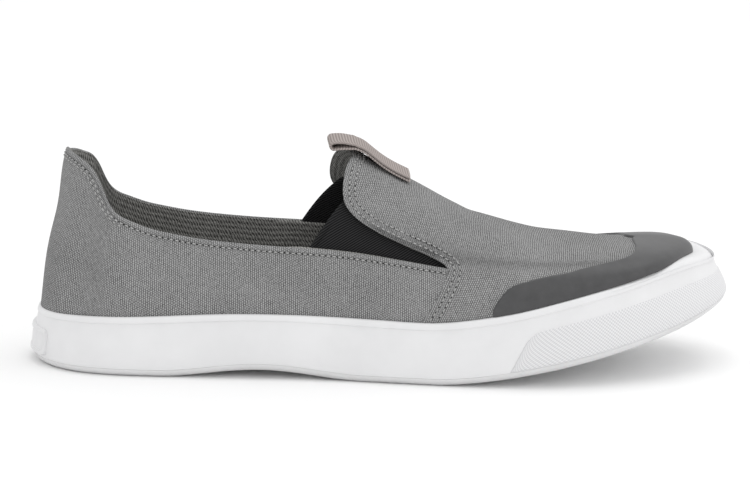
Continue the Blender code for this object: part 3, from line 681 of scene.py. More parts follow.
def rib(s, up):
    """Outside of the canvas: a cubic Bezier from the rim (up 0) to the ridge (up 1), upright, then flat on top.

    At the back of the heel it is pushed in by a bell."""
    s, up = np.broadcast_arrays(np.asarray(s, float), np.asarray(up, float))
    foot = lower_skin(s, 0.0)
    top = crest(s)
    share = distance(s) / LENGTH
    run = (top - foot) * [1, 1, 0]
    height = (top - foot) * [0, 0, 1]
    lean = column(SECTION, "lean", share)[..., None]
    inner = np.mod(s, 2) > 1
    rise = np.where(inner, column(SECTION, "inner_rise", share), column(SECTION, "rise", share))[..., None]
    shoulder = np.where(inner, column(SECTION, "inner_shoulder", share), column(SECTION, "shoulder", share))[..., None]
    side = foot + run * lean + height * rise
    round_point = foot + run * shoulder + height
    t = up[..., None]
    plain = (1 - t) ** 3 * foot + 3 * (1 - t) ** 2 * t * side + 3 * (1 - t) * t**2 * round_point + t**3 * top
    tall = ((plain[..., 2] - HEEL_HOLLOW_Z) / HEEL_HOLLOW_TALL) ** 2
    hollow = HEEL_HOLLOW * np.exp(-tall - (distance(s) / HEEL_HOLLOW_LONG) ** 2)
    return plain + hollow[..., None] * [1, 0, 0]


def into_shoe(s, up):
    """Unit direction from the rib surface into the shoe: the cross product of its two slopes."""
    nudge = 1e-4
    back = np.minimum(up, 1 - nudge)
    along = rib(s + nudge, back) - rib(s - nudge, back)
    rising = rib(s, back + nudge) - rib(s, back)
    inward = np.cross(rising, along)
    return inward / np.maximum(np.linalg.norm(inward, axis=-1, keepdims=True), 1e-12)


def creased(places):
    """How far folds push the canvas in: a sum of bells, each long along its own lean and narrow across it."""
    depth = np.zeros(places.shape[:-1])
    for x, z, length, width, lean, deep in zip(*CREASES.values()):
        ahead = places[..., 0] - x
        above = places[..., 2] - z
        along = ahead * np.sin(lean) + above * np.cos(lean)
        across = ahead * np.cos(lean) - above * np.sin(lean)
        depth += deep * np.exp(-((along / length) ** 2) - (across / width) ** 2)
    return depth


def skin(s, up, depth=0.0):
    """The rib surface moved in by a depth, or out by a negative one, with its folds. Both sides share the ridge."""
    s, up = np.broadcast_arrays(np.asarray(s, float), np.asarray(up, float))
    inward = into_shoe(s, up)
    shared = inward + into_shoe(2 - s, up)
    shared /= np.linalg.norm(shared, axis=-1, keepdims=True)
    inward = np.where((up >= 1)[..., None], shared, inward)
    flat = rib(s, up)
    return flat + inward * (np.asarray(depth) + creased(flat))[..., None]


def rib_share(s, height):
    """How far up its rib a place at this height lies. The height may be a function of x and y."""
    ups = np.linspace(0, 1, 201)
    s = np.atleast_1d(np.asarray(s, float))
    points = rib(s[:, None], ups[None, :])
    goal = height(points[..., 0], points[..., 1]) if callable(height) else np.asarray(height)[:, None]
    over = points[..., 2] - goal
    first = np.maximum(np.argmax(over > 0, axis=1), 1)
    row = np.arange(len(s))
    low = over[row, first - 1]
    high = over[row, first]
    return ups[first - 1] + (ups[1] - ups[0]) * (-low / (high - low))


def collar_height(x, y=0.0):
    """Top edge of the quarters, seen from the side. The heel tab is a little lower on its inner side."""
    drop = TAB_DROP * ease(y / 0.010) * ease((0.027 - x) / 0.008)
    return COLLAR_HEIGHT * column(COLLAR, "height", x / LENGTH) - drop


def turned_edge(edge, inward, outward, thick, count=7):
    """Rows round a folded edge: half a circle from the outer face to the inner one."""
    turns = np.linspace(0, np.pi, count + 2)[1:-1].reshape(-1, *[1] * edge.ndim)
    return edge + (thick / 2) * ((1 - np.cos(turns)) * inward + np.sin(turns) * outward)


def unit(vectors):
    """Vectors of length one."""
    return vectors / np.maximum(np.linalg.norm(vectors, axis=-1, keepdims=True), 1e-12)


def woven(tree, warp=0.85, weft=1.0):
    """Plain weave from 0 to 1: a cosine makes the warp's columns, and two cosines, multiplied, the dots on them,
    which lie half a step higher on every other column."""
    uv = add(tree, "UVMap", {}, uv_map="pattern")
    wobble = add(tree, "TexNoise", {"Vector": uv, "Scale": 0.35, "Detail": 2.0}, "Color")
    moved = add(tree, "VectorMath", {0: wobble, 1: (0.9, 0.9, 0)}, operation="MULTIPLY")
    placed = add(tree, "VectorMath", {0: uv, 1: moved})
    waves = []
    for way, pitch in (("X", warp), ("X", 2 * warp), ("Y", weft)):
        along = add(tree, "SeparateXYZ", {0: placed}, way)
        angle = add(tree, "Math", {0: along, 1: 2 * np.pi / pitch}, operation="MULTIPLY")
        waves.append(add(tree, "Math", {0: angle}, operation="COSINE"))
    dots = add(tree, "Math", {0: waves[1], 1: waves[2]}, operation="MULTIPLY")
    dots = add(tree, "Math", {0: dots, 1: 0.26, 2: 0.5}, operation="MULTIPLY_ADD")
    return add(tree, "Math", {0: waves[0], 1: 0.24, 2: dots}, operation="MULTIPLY_ADD")


def canvas_colour(tree):
    """Grey yarn over darker gaps, painted as the shade between the yarns, with thicker and thinner yarns, and faint
    cloudy tone.
    """
    yarn = grain(tree, 900, 2, 0.7)
    mixed = add(tree, "Math", {0: yarn, 1: 0.5, 2: woven(tree)}, operation="MULTIPLY_ADD")
    cloud = add(tree, "Math", {0: grain(tree, 30, 2), 1: 0.2, 2: mixed}, operation="MULTIPLY_ADD")
    return shades(tree, cloud, "#2a2a2a", "#b0b0b0", 0.42, 1.25)


def canvas_relief(tree):
    """Yarns stand 0.2 mm proud of the gaps."""
    return add(tree, "Math", {0: woven(tree), 1: 0.20}, operation="MULTIPLY")


CLOTH_SHADER = {"Roughness": 0.95, "Specular IOR Level": 0.12}
quarter_canvas = real_material("canvas, plain weave", CLOTH_SHADER, canvas_colour, canvas_relief)
front = station(NOTCH + 0.0055)
u = ring(440)
u = np.concatenate([u[u < front - 0.002], [front]])
s = np.concatenate([-u[:0:-1], u])
top = rib_share(s, collar_height)
shares = np.concatenate([np.linspace(0, 0.86, 34), np.linspace(0.88, 1, 22)])[:, None]
ups = top * shares
wall_rows = skin(s, ups)
fallen = run_length(wall_rows, 0)
fallen = fallen[-1] - fallen
dent = 0.00034 * np.exp(-(((fallen - 1.8) / 0.45) ** 2)) - 0.00016 * np.exp(-(((fallen - 0.8) / 0.6) ** 2))
wall_rows = skin(s, ups, dent)
inward = into_shoe(s, top)
upward = unit(wall_rows[-1] - wall_rows[-3])
turned = turned_edge(wall_rows[-1], inward, upward, FOLD)
under = [skin(s, top * share, FOLD) for share in (0.99, 0.96, 0.90)]
under += [skin(s, top * 0.90, CLOTH), skin(s, top * 0.02, CLOTH)]
hidden = [lower_skin(s, down, CLOTH) for down in (0.05, 0.5)]
outside = np.stack([lower_skin(s, down) for down in (0.5, 0.25, 0.02)])
shell = np.concatenate([outside, wall_rows, turned, np.stack(under + hidden), outside[:1]])
quarters = piece("quarters", [(shell, even_uv(shell))], quarter_canvas, "upper", 70)


# Vamp: the same canvas over the forefoot, cut so that its threads lean, lasted over the ridge and lapped over
# the quarters at the seam. Its back edge is folded and held by two rows of stitches down to the sole.
ROW_NEAR = 0.0019
ROW_FAR = 0.0043
WELT = 0.00030
VAMP_SLANT = 0.42


def seam_place(s, share):
    """Places moved so that the vamp's seam slants back as it runs down from the notch."""
    x = distance(s)
    near = np.exp(-(((x - NOTCH) / SEAM_FADE) ** 2))
    u = station(x - SEAM_SLANT * near * (1 - share) ** 1.5)
    return np.where(np.mod(s, 2) <= 1, u, 2 - u)


def back_edge(side, ups):
    """Place, as on the outer side, of the vamp's back edge at each rib share: the seam, then the throat."""
    notch = station(NOTCH)
    notch_up = rib_share([notch if side == 0 else 2 - notch], collar_height)[0]
    shares = np.linspace(0, 1, 90)
    seam = seam_place(np.full(40, notch), np.linspace(0, 1, 40))
    edge_s = station(LENGTH * column(VAMP_EDGE, "along", shares, "up"))
    signed = edge_s if side == 0 else 2 - edge_s
    edge_up = rib_share(signed, VAMP_TOP * column(VAMP_EDGE, "height", shares, "up"))
    edge_up[-1] = 1.0
    kept = edge_up > notch_up + 0.004
    all_up = np.concatenate([np.linspace(0, notch_up, 40), edge_up[kept]])
    all_s = np.concatenate([seam, edge_s[kept]])
    order = np.argsort(all_up)
    spread = np.linspace(-1.5, 1.5, 13)
    weight = np.exp(-(spread**2))
    width = 0.018 * ease(ups / 0.1) * ease((1 - ups) / 0.1)
    sampled = np.interp(ups[:, None] + spread * width[:, None], all_up[order], all_s[order])
    return sampled @ weight / weight.sum()


def vamp_grid(columns, rows, depth, reach=(0.0, 0.0)):
    """Rows from the outer rim over the ridge to the inner rim, columns from the back edge to the toe's tip."""
    half = np.linspace(0, 1, rows)
    half = 1 - (1 - half) ** 1.25
    sides = []
    for side in (0, 1):
        back = back_edge(side, half)
        back = station(distance(back) - reach[side])
        place = back[:, None] + (1 - back[:, None]) * columns
        up = np.broadcast_to(half[:, None], place.shape)
        sides.append((place if side == 0 else 2 - place, up))
    place = np.concatenate([sides[0][0], sides[1][0][-2::-1]])
    up = np.concatenate([sides[0][1], sides[1][1][-2::-1]])
    return place, up, skin(place, up, depth)


def canvas_uv(points):
    """Pattern of the vamp: down each rib, and along the shoe, pulled forward as the cloth goes down the side."""
    down = run_length(points, 0)
    along = 1000 * (points[..., 0] - VAMP_SLANT * points[..., 2])
    return np.stack([along, down - down[len(points) // 2]], -1)


vamp_canvas = real_material("canvas, plain weave, on the bias", CLOTH_SHADER, canvas_colour, canvas_relief)
columns = np.concatenate([np.linspace(0, 0.055, 24), 0.055 + 0.945 * np.linspace(0, 1, 130)[1:] ** 0.9])
place, up, flat = vamp_grid(columns, 74, -SEAM_STEP)
edge = flat[:, 0]
near_edge = flat[:, :40]
gaps = np.linalg.norm(near_edge[:, :, None] - edge[None, None], axis=-1).min(2)
dents = np.zeros(flat.shape[:2])
for row in (ROW_NEAR, ROW_FAR):
    dents[:, :40] += WELT * np.exp(-(((gaps - row) / 0.0004) ** 2))
dents[:, :40] -= WELT * np.exp(-(((gaps - (ROW_NEAR + ROW_FAR) / 2) / 0.0008) ** 2))
dents[:, :40] -= WELT * np.exp(-(((gaps - 0.0008) / 0.0007) ** 2))
face = skin(place, up, -SEAM_STEP + dents)
inward = into_shoe(place[:, :1], np.minimum(up[:, :1], 0.999))
outward = unit(face[:, :1] - face[:, 3:4])
turned = turned_edge(face[:, 0], inward[:, 0], outward[:, 0], CLOTH * 1.3).transpose(1, 0, 2)[:, ::-1]
under = skin(place[:, ::-1], up[:, ::-1], -SEAM_STEP + CLOTH * 0.9)
under[:, -1] = skin(place[:, 0], up[:, 0], -SEAM_STEP + CLOTH * 1.3)
shell = np.concatenate([under, turned, face], 1)
vamp_sheets = [(shell, canvas_uv(shell))]
for row in (0, -1):
    lower = [lower_skin(place[row], down, -SEAM_STEP * 0.4) for down in (0.03, 0.4)]
    foot = np.stack([face[row], *lower, under[row, ::-1]])
    vamp_sheets.append((foot, even_uv(foot)))
vamp = piece("vamp", vamp_sheets, vamp_canvas, "upper", 70)


# Lining: dark grey cotton webbing in a herringbone weave, inside the quarters and under the vamp. It shows
# round the collar, where it also covers the lower edge of the gores, and past the vamp's edge on the inner side.
LIP_OUTER = -0.0004
LIP_INNER = 0.0030
LINING = 0.0008
LINING_DROP = 0.0002
GORE_COVER = 0.0016
GORE_FROM = 0.098


def herringbone(tree, pitch=2.3, stroke=1.25):
    """Rows of slanting yarns: a cosine across the rows, and one along them that leans with each row's place."""
    uv = add(tree, "UVMap", {}, uv_map="pattern")
    wobble = add(tree, "TexNoise", {"Vector": uv, "Scale": 0.45, "Detail": 3.0}, "Color")
    moved = add(tree, "VectorMath", {0: wobble, 1: (1.6, 1.3, 0)}, operation="MULTIPLY")
    placed = add(tree, "VectorMath", {0: uv, 1: moved})
    x = add(tree, "SeparateXYZ", {0: placed}, "X")
    y = add(tree, "SeparateXYZ", {0: placed}, "Y")
    wave = add(tree, "Math", {0: y, 1: 2 * np.pi / pitch}, operation="MULTIPLY")
    rows = add(tree, "Math", {0: add(tree, "Math", {0: wave}, operation="COSINE"), 1: 0.16, 2: 0.5}, operation="MULTIPLY_ADD")
    leaning = add(tree, "Math", {0: x, 1: 2 * np.pi / stroke, 2: wave}, operation="MULTIPLY_ADD")
    strokes = add(tree, "Math", {0: leaning}, operation="SINE")
    return add(tree, "Math", {0: strokes, 1: 0.30, 2: rows}, operation="MULTIPLY_ADD")


def webbing_colour(tree):
    """Warm dark grey, darker between the rows: painted shade in the grooves of the weave."""
    mixed = add(tree, "Math", {0: grain(tree, 900, 3), 1: 0.6, 2: herringbone(tree)}, operation="MULTIPLY_ADD")
    return shades(tree, mixed, "#3a3a38", "#aaa9a6", 0.35, 1.25)


lining_webbing = real_material(
    "cotton webbing, herringbone", CLOTH_SHADER, webbing_colour,
    lambda tree: add(tree, "Math", {0: herringbone(tree), 1: 0.28}, operation="MULTIPLY"),
)
u = ring(240)
u = np.concatenate([u[u < front - 0.004], [front]])
s = np.concatenate([-u[:0:-1], u])
top = rib_share(s, lambda x, y: collar_height(x, y) - LINING_DROP)
shares = np.linspace(0.02, 1, 40)[:, None]
over_gore = GORE_COVER * ease((distance(s) - GORE_FROM) / 0.010)
inner_face = skin(s, top * shares, FOLD + LINING * 1.2 + over_gore)
outer_face = skin(s, top * shares, FOLD + 0.0001)
inward = into_shoe(s, top)
crown = turned_edge(outer_face[-1], inward, unit(outer_face[-1] - outer_face[-3]), (LINING * 1.2 + over_gore)[:, None], 5)
shell = np.concatenate([outer_face, crown, inner_face[::-1], outer_face[:1]])
flipped = even_uv(shell)
flipped[..., 1] -= flipped[len(outer_face) + 2, :, 1]
collar_lining = piece("collar_lining", [(shell, flipped)], lining_webbing, "upper", 70)
columns = np.linspace(0, 1, 90) ** 1.3
place, up, outer_face = vamp_grid(columns, 50, CLOTH, (LIP_OUTER, LIP_INNER))
inner_face = skin(place, up, CLOTH + LINING)
inward = into_shoe(place[:, :1], np.minimum(up[:, :1], 0.999))[:, 0]
crown = turned_edge(outer_face[:, 0], inward, unit(outer_face[:, 0] - outer_face[:, 2]), LINING, 5)
shell = np.concatenate([inner_face[:, ::-1], crown.transpose(1, 0, 2)[:, ::-1], outer_face], 1)
sheets = [shell] + [np.stack([outer_face[row], inner_face[row]]) for row in (0, -1)]
vamp_lining = piece("vamp_lining", [(sheet, even_uv(sheet, True)) for sheet in sheets], lining_webbing, "upper", 70)


# Toe guard: a thin dark film, welded over the toe of the canvas as a shield. It is smooth with a soft sheen, and
# its back edge rises in a round from the sole and runs forward over the toe.
GUARD_THICK = 0.0007
GUARD_GAP = 0.00045
GUARD_FOOT = 0.012
GUARD = table(
    "along up",
    (0.645, 0.05),
    (0.655, 0.12),
    (0.666, 0.18),
    (0.689, 0.23),
    (0.713, 0.265),
    (0.750, 0.29),
    (0.800, 0.36),
    (0.845, 0.425),
    (0.870, 0.52),
    (0.895, 0.70),
    (0.920, 0.85),
    (0.950, 0.93),
    (1.000, 0.965),
)
guard_film = real_material(
    "polyurethane film, welded",
    {"Roughness": 0.42, "IOR": 1.5},
    colour=lambda tree: shades(tree, grain(tree, 220, 4), "#3c3c3d", "#444445", 0.3, 0.7),
    relief=lambda tree: add(tree, "Math", {0: woven(tree, 0.9, 0.9), 1: 0.012}, operation="MULTIPLY"),
)
start = GUARD["along"][0] * LENGTH
u = station(start + (LENGTH - start) * np.linspace(0, 1, 150) ** 1.3)
u[-1] = 1.0
s = both_sides(u)
edge_up = column(GUARD, "up", distance(s) / LENGTH)
shares = np.concatenate([np.linspace(0, 0.97, 44), [0.985, 1.0]])[:, None]
ups = GUARD_FOOT * 0.4 + (edge_up - GUARD_FOOT * 0.4) * shares
sheet = skin(s, ups, -SEAM_STEP)
to_edge = run_length(sheet, 0)
to_edge = to_edge[-1] - to_edge
to_side = np.minimum(run_length(sheet, 1), run_length(sheet[:, ::-1], 1)[:, ::-1])
edge_soft = np.clip(np.minimum(to_edge, to_side) / 0.8, 0, 1)
proud = GUARD_THICK * np.sqrt(1 - (1 - edge_soft) ** 2)
face = skin(s, ups, -(SEAM_STEP + 0.0002) - proud)
behind = skin(s, ups, -SEAM_STEP + 0.0003)
sheets = [face, behind] + [np.stack([face[i], behind[i]]) for i in (0, -1)]
sheets += [np.stack([face[:, j], behind[:, j]]) for j in (0, -1)]
guard = piece("guard", [(sheet, even_uv(sheet)) for sheet in sheets], guard_film, "toe_guard", 70)


# Gores: black elastic webbing let into the notch on each side, lapped by vamp and quarter and stitched to them.
# Rubber threads inside draw it into fine slanting ribs, and its free edge has a narrow woven selvedge.
GORE_THICK = 0.0012
GORE_LAP = 0.0065
GORE_LEAN = 0.0060
GORE_BACK = 0.1138
GORE_BACK_TOP = 0.1285
SELVEDGE = 0.0022


def elastic_ribs(tree):
    """Ribs 1.2 mm apart, leaning across the panel: one sine along a turned coordinate."""
    uv = add(tree, "UVMap", {}, uv_map="pattern")
    turned = add(tree, "Mapping", {"Vector": uv, "Rotation": (0, 0, 0.5)})
    x = add(tree, "SeparateXYZ", {0: turned}, "X")
    wave = add(tree, "Math", {0: x, 1: 2 * np.pi / 1.2}, operation="MULTIPLY")
    return add(tree, "Math", {0: add(tree, "Math", {0: wave}, operation="SINE"), 1: 0.5, 2: 0.5}, operation="MULTIPLY_ADD")


elastic = real_material(
    "elastic webbing, knitted",
    {"Roughness": 0.9, "Specular IOR Level": 0.12},
    # Painted highlight and shade: the ribs' crests are coloured lighter than the grooves between them.
    colour=lambda tree: shades(tree, elastic_ribs(tree), "#050505", "#343435"),
    relief=lambda tree: add(tree, "Math", {0: elastic_ribs(tree), 1: 0.14}, operation="MULTIPLY"),
)
for name, side in (("gore_outer", 0), ("gore_inner", 1)):
    p = np.linspace(0, 1, 90)
    front_x = NOTCH + GORE_LAP
    low_x = GORE_BACK - GORE_LEAN + (front_x - GORE_BACK) * p
    high_x = GORE_BACK_TOP + (front_x - GORE_BACK_TOP) * p
    low_s = station(low_x) if side == 0 else 2 - station(low_x)
    high_s = station(high_x) if side == 0 else 2 - station(high_x)
    low_up = rib_share(low_s, collar_height(low_x) - GORE_LAP * (1 - 0.4 * p))
    edge_x = LENGTH * VAMP_EDGE["along"][8::-1]
    edge_z = VAMP_TOP * VAMP_EDGE["height"][8::-1]
    high_up = rib_share(high_s, np.interp(high_x, edge_x, edge_z) + GORE_LAP)
    q = np.linspace(0, 1, 60)[:, None]
    places = low_s * (1 - q) + high_s * q
    ups = low_up * (1 - q) + high_up * q
    flat = skin(places, ups, CANVAS + GAP)
    from_free = run_length(flat, 1) / 1000
    line = 0.00060 * np.exp(-(((from_free - SELVEDGE) / 0.0003) ** 2))
    soft = (GORE_THICK / 2) * (1 - np.sqrt(1 - (1 - np.clip(from_free / 0.0006, 0, 1)) ** 2))
    outside = skin(places, ups, CANVAS + GAP + line + soft)
    inside_face = skin(places, ups, CANVAS + GAP + GORE_THICK - soft)
    sheets = [outside, inside_face] + [np.stack([outside[i], inside_face[i]]) for i in (0, -1)]
    sheets += [np.stack([outside[:, j], inside_face[:, j]]) for j in (0, -1)]
    piece(name + "_webbing", [(sheet, even_uv(sheet)) for sheet in sheets], elastic, name, 60)


# Pull loop: warm grey ribbed webbing, folded double and sewn to the top of the vamp. Its folded end is lifted
# over the throat, and a narrow slit stays open between its two layers.
STRAP = 0.0013
STRAP_WIDTH = 0.020
STRAP_FRONT = 0.1545
STRAP_BACK = 0.1222
STRAP_LIFT = 0.1327
STRAP_RISE = 0.0022
STRAP_OPEN = 0.0015
STRAP_CROWN = 0.0009
STRAP_PATH = table(
    "ahead lift",
    (-0.032, 0.27),
    (-0.014, 0.64),
    (0.000, 0.77),
    (0.012, 1.00),
    (0.028, 0.55),
    (0.045, 0.05),
    (0.080, 0.00),
)


def ribbed(tree):
    """Ribs across the strap 1.2 mm apart, broken by the weave along them."""
    uv = add(tree, "UVMap", {}, uv_map="pattern")
    x = add(tree, "SeparateXYZ", {0: uv}, "X")
    y = add(tree, "SeparateXYZ", {0: uv}, "Y")
    over = add(tree, "Math", {0: add(tree, "Math", {0: x, 1: 2 * np.pi / 1.2}, operation="MULTIPLY")}, operation="SINE")
    cross = add(tree, "Math", {0: add(tree, "Math", {0: y, 1: 2 * np.pi / 1.6}, operation="MULTIPLY")}, operation="SINE")
    mixed = add(tree, "Math", {0: cross, 1: 0.35, 2: over}, operation="MULTIPLY_ADD")
    return add(tree, "Math", {0: mixed, 1: 0.37, 2: 0.5}, operation="MULTIPLY_ADD")


loop_webbing = real_material(
    "polyester webbing, ribbed", CLOTH_SHADER,
    # Painted shade: the grooves between the ribs are coloured darker than the ribs.
    colour=lambda tree: shades(tree, ribbed(tree), "#857d7a", "#b1a8a4", 0.1, 0.9),
    relief=lambda tree: add(tree, "Math", {0: ribbed(tree), 1: 0.16}, operation="MULTIPLY"),
)
steps = np.linspace(0, 1, 60)
x = STRAP_BACK + STRAP / 2 + (STRAP_FRONT - STRAP_BACK - STRAP / 2) * steps
vamp_back = VAMP_EDGE["along"][-1] * LENGTH
ridge = RIDGE_HEIGHT * column(RIDGE, "height", np.maximum(x, vamp_back) / LENGTH)
slope = np.gradient(ridge, x)
lift = STRAP_RISE * column(STRAP_PATH, "lift", (x - vamp_back) / LENGTH, "ahead")
base = ridge + (SEAM_STEP + 2 * GAP) * np.sqrt(1 + slope**2) + lift
lifted = np.clip((STRAP_LIFT - x) / (STRAP_LIFT - STRAP_BACK), 0, 1)
thick = 2 * STRAP + STRAP_OPEN * np.sin(np.pi / 2 * lifted)
low_path = np.stack([x, base + STRAP / 2], -1)
high_path = np.stack([x, base + thick - STRAP / 2], -1)
bend = np.linspace(-np.pi / 2, np.pi / 2, 9)[1:-1]
mid = (low_path[0] + high_path[0]) / 2
half_gap = (high_path[0, 1] - low_path[0, 1]) / 2
fold = mid + half_gap * np.stack([-np.cos(bend), np.sin(bend)], -1)
path = np.concatenate([low_path[::-1], fold, high_path])
tangent = unit(np.gradient(path, axis=0))
normal = np.stack([-tangent[:, 1], tangent[:, 0]], -1)
turn = np.linspace(0, 2 * np.pi, 49)
width_share = np.sign(np.cos(turn)) * np.abs(np.cos(turn)) ** 0.35
thick_share = np.sign(np.sin(turn)) * np.abs(np.sin(turn)) ** 0.55
seated = 1 - 0.6 * np.interp(path[:, 0], x, lifted)
sag = STRAP_CROWN * width_share**2 * seated[:, None]
offset = normal[:, None] * (thick_share * STRAP / 2)[:, None]
middle_y = crest(station(STRAP_FRONT))[1]
ribbon = np.stack([
    path[:, None, 0] + offset[..., 0],
    middle_y + width_share * STRAP_WIDTH / 2 + 0 * sag,
    path[:, None, 1] + offset[..., 1] - sag,
], -1)
caps = [np.stack([ribbon[j], ribbon[j].mean(0) + 0 * ribbon[j]]) for j in (0, -1)]
loop = piece("loop", [(sheet, even_uv(sheet, True)) for sheet in [ribbon] + caps], loop_webbing, "pull_loop", 60)


# Stitches: grey polyester thread, lock-stitched through canvas and lining. Each stitch is a short rounded bar
# whose ends dive into the cloth, a little over two millimetres from the next.
STITCH_PITCH = 0.0024
STITCH_LENGTH = 0.0017
THREAD = 0.00060
# Size of the small dark discs painted as the shadow in each needle hole.
HOLE_SHADOW = 0.00062
TAB_END = 0.034


def settle(s, up, goal):
    """Walks places along the surface to the foot of each goal: three Newton steps on the two slopes."""
    nudge = 1e-4
    for _ in range(3):
        here = rib(s, up)
        over = (rib(s + nudge, up) - rib(s - nudge, up)) / (2 * nudge)
        rising = (rib(s, up + nudge) - rib(s, up - nudge)) / (2 * nudge)
        left = goal - here
        a = (over**2).sum(-1)
        b = (over * rising).sum(-1)
        c = (rising**2).sum(-1)
        p = (over * left).sum(-1)
        q = (rising * left).sum(-1)
        det = np.maximum(a * c - b * b, 1e-12)
        s = s + (c * p - b * q) / det
        up = up + (a * q - b * p) / det
    return s, up


def beside(s, up, gap):
    """The curve on the surface a gap to one side of a curve, square to it."""
    here = rib(s, up)
    run = unit(np.gradient(here, axis=0))
    sideways = np.cross(into_shoe(s, up), run)
    return settle(s, up, here + sideways * gap)


def stitch_row(s, up, depth, first=0.5):
    """Middle, direction and normal of each stitch along a curve, evenly walked from a share of the pitch."""
    spots = skin(s, up, depth)
    normal = -into_shoe(s, np.clip(up, 0, 0.999))
    walked = run_length(spots[None], 1)[0] / 1000
    at = np.arange(STITCH_PITCH * first, walked[-1], STITCH_PITCH)
    centre = np.stack([np.interp(at, walked, spots[:, k]) for k in range(3)], -1)
    ahead = np.stack([np.interp(at + 1e-4, walked, spots[:, k]) for k in range(3)], -1)
    facing = np.stack([np.interp(at, walked, normal[:, k]) for k in range(3)], -1)
    return centre, unit(ahead - centre), unit(facing)


def stitches(name, rows, material, length=STITCH_LENGTH, thick=THREAD, high=0.30):
    """One piece from many stitches: a ring of thread carried along a short arc, placed at each one.

    high is how far the thread's middle stands over the cloth, as a share of its thickness."""
    centre, ahead, facing = (np.concatenate(part) for part in zip(*rows))
    beside_it = np.cross(facing, ahead)
    t = np.linspace(-1, 1, 7)
    turn = np.linspace(0, 2 * np.pi, 7)
    radius = thick / 2 * np.sqrt(np.clip(1 - t**4, 0, 1))
    along = t * length / 2
    dive = thick * (high - 0.9 * t**4 * (high > 0))
    out = dive[:, None] + radius[:, None] * np.sin(turn)
    wide = radius[:, None] * np.cos(turn)
    bars = centre[:, None, None] + ahead[:, None, None] * along[:, None, None]
    bars = bars + facing[:, None, None] * out[..., None] + beside_it[:, None, None] * wide[..., None]
    coords = np.stack(np.broadcast_arrays(along[:, None] * 1000, turn), -1)
    return piece(name, [(bar, coords) for bar in bars], material, "upper", 180)


thread = real_material(
    "polyester thread, twisted",
    {"Roughness": 0.6, "Sheen Weight": 0.2},
    colour=lambda tree: shades(tree, grain(tree, 1500, 2), "#8b8b8a", "#b4b4b3", 0.3, 0.7),
)
# Painted shadow: small dark discs at the stitch ends stand for the shade inside the needle holes.
shadow = real_material(
    "needle hole, painted shadow", {"Roughness": 1.0, "Specular IOR Level": 0.0},
    colour=lambda tree: shades(tree, grain(tree, 1500, 2), "#2c2c2c", "#3a3a3a", 0.3, 0.7),
)
rows, hole_shadows = [], []
ups = np.linspace(0.01, 0.985, 260)
for side in (0, 1):
    edge_s = back_edge(side, ups)
    signed = edge_s if side == 0 else 2 - edge_s
    for gap in (ROW_NEAR, ROW_FAR):
        row = beside(signed, ups, gap if side == 0 else -gap)
        good = (row[1] > 0.004) & (row[1] < 0.992)
        rows.append(stitch_row(row[0][good], row[1][good], -SEAM_STEP))
        hole_shadows.append(stitch_row(row[0][good], row[1][good], -SEAM_STEP, 1.0))
stitches("vamp_stitches", rows, thread)
stitches("vamp_needle_hole_shadows", hole_shadows, shadow, HOLE_SHADOW, HOLE_SHADOW, -0.42)
rows, hole_shadows = [], []
for end, gap in ((NOTCH - 0.002, 0.0018), (TAB_END, 0.0030)):
    s = np.linspace(-station(end), station(end), 400)
    row = beside(s, rib_share(s, collar_height), gap)
    rows.append(stitch_row(*row, 0.0))
    hole_shadows.append(stitch_row(*row, 0.0, 1.0))
stitches("collar_stitches", rows, thread)
stitches("collar_needle_hole_shadows", hole_shadows, shadow, HOLE_SHADOW, HOLE_SHADOW, -0.42)


# Floor and light: a pale sheet, and a plain white room with soft boxes above, in front and at the toe's side,
# as in a studio. None of it belongs to the shoe.
def box_light(name, place, aim, size, power):
    """A square soft box that looks at a place."""
    data = bpy.data.lights.new(name, "AREA")
    data.shape = "SQUARE"
    data.size = size
    data.energy = power
    lamp = bpy.data.objects.new(name, data)
    bpy.context.scene.collection.objects.link(lamp)
    away = unit(np.subtract(place, aim))
    side_on = unit(np.cross([0, 0, 1], away))
    lamp.matrix_world = matrix(side_on, np.cross(away, side_on), away, place)


def matrix(right, up, back, place):
    """A placement from its three axes and its place."""
    columns = np.eye(4)
    columns[:3] = np.stack([right, up, back, place], 1)
    return Matrix(columns.tolist())


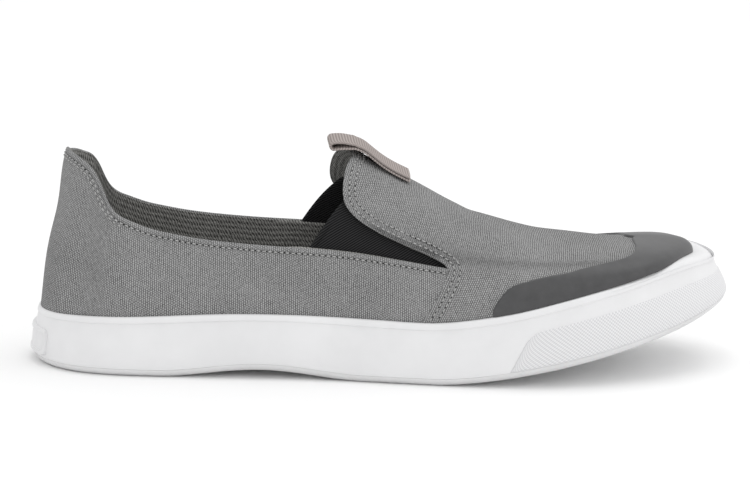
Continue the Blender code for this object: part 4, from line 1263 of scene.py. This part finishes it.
floor_paper = real_material(
    "paper, matt",
    {"Roughness": 0.95, "Specular IOR Level": 0.2},
    colour=lambda tree: shades(tree, grain(tree, 6, 2), "#f6f6f6", "#f8f8f8", 0.3, 0.7),
)
data = bpy.data.meshes.new("ground_sheet")
data.from_pydata([(-8, -8, 0), (8, -8, 0), (8, 12, 0), (-8, 12, 0)], [], [(0, 1, 2, 3)])
data.materials.append(floor_paper)
ground_sheet = bpy.data.objects.new("ground_sheet", data)
ground_sheet.location.z = -0.0002
bpy.context.scene.collection.objects.link(ground_sheet)
room = bpy.data.worlds.new("white room")
room.use_nodes = True
room.node_tree.nodes["Background"].inputs["Color"].default_value = (1, 1, 1, 1)
room.node_tree.nodes["Background"].inputs["Strength"].default_value = 0.94
bpy.context.scene.world = room
middle = (0, 0, 0.04)
box_light("overhead", (0.3, 0.10, 1.5), middle, 1.2, 5.5)
box_light("front", (0.3, -1.6, 1.0), middle, 1.0, 1.8)
box_light("toe side", (1.5, -0.6, 0.7), middle, 0.9, 1.4)
bpy.context.scene.view_settings.view_transform = "Standard"


# Camera: a long lens a little over two metres away, level with the collar and slightly towards the heel, rolled
# so that the sole lies as in the photo.
DISTANCE = 2.2
PIXELS_PER_METRE = 2402
azimuth, elevation, roll = np.radians([-3.7, 12.3, 1.25])
away = np.array([np.sin(azimuth) * np.cos(elevation), -np.cos(azimuth) * np.cos(elevation), np.sin(elevation)])
right = np.array([np.cos(azimuth), np.sin(azimuth), 0])
over = np.cross(away, right)
camera_right = right * np.cos(roll) + over * np.sin(roll)
camera_up = over * np.cos(roll) - right * np.sin(roll)
aim = np.array([0, 0, 0.045]) - camera_right * 7 / PIXELS_PER_METRE + camera_up * 13.5 / PIXELS_PER_METRE
lens = bpy.data.cameras.new("camera")
lens.sensor_width = 36
lens.lens = PIXELS_PER_METRE * DISTANCE / 750 * lens.sensor_width
lens.clip_end = 50
camera = bpy.data.objects.new("camera", lens)
camera.matrix_world = matrix(camera_right, camera_up, away, aim + away * DISTANCE)
bpy.context.scene.collection.objects.link(camera)
bpy.context.scene.camera = camera
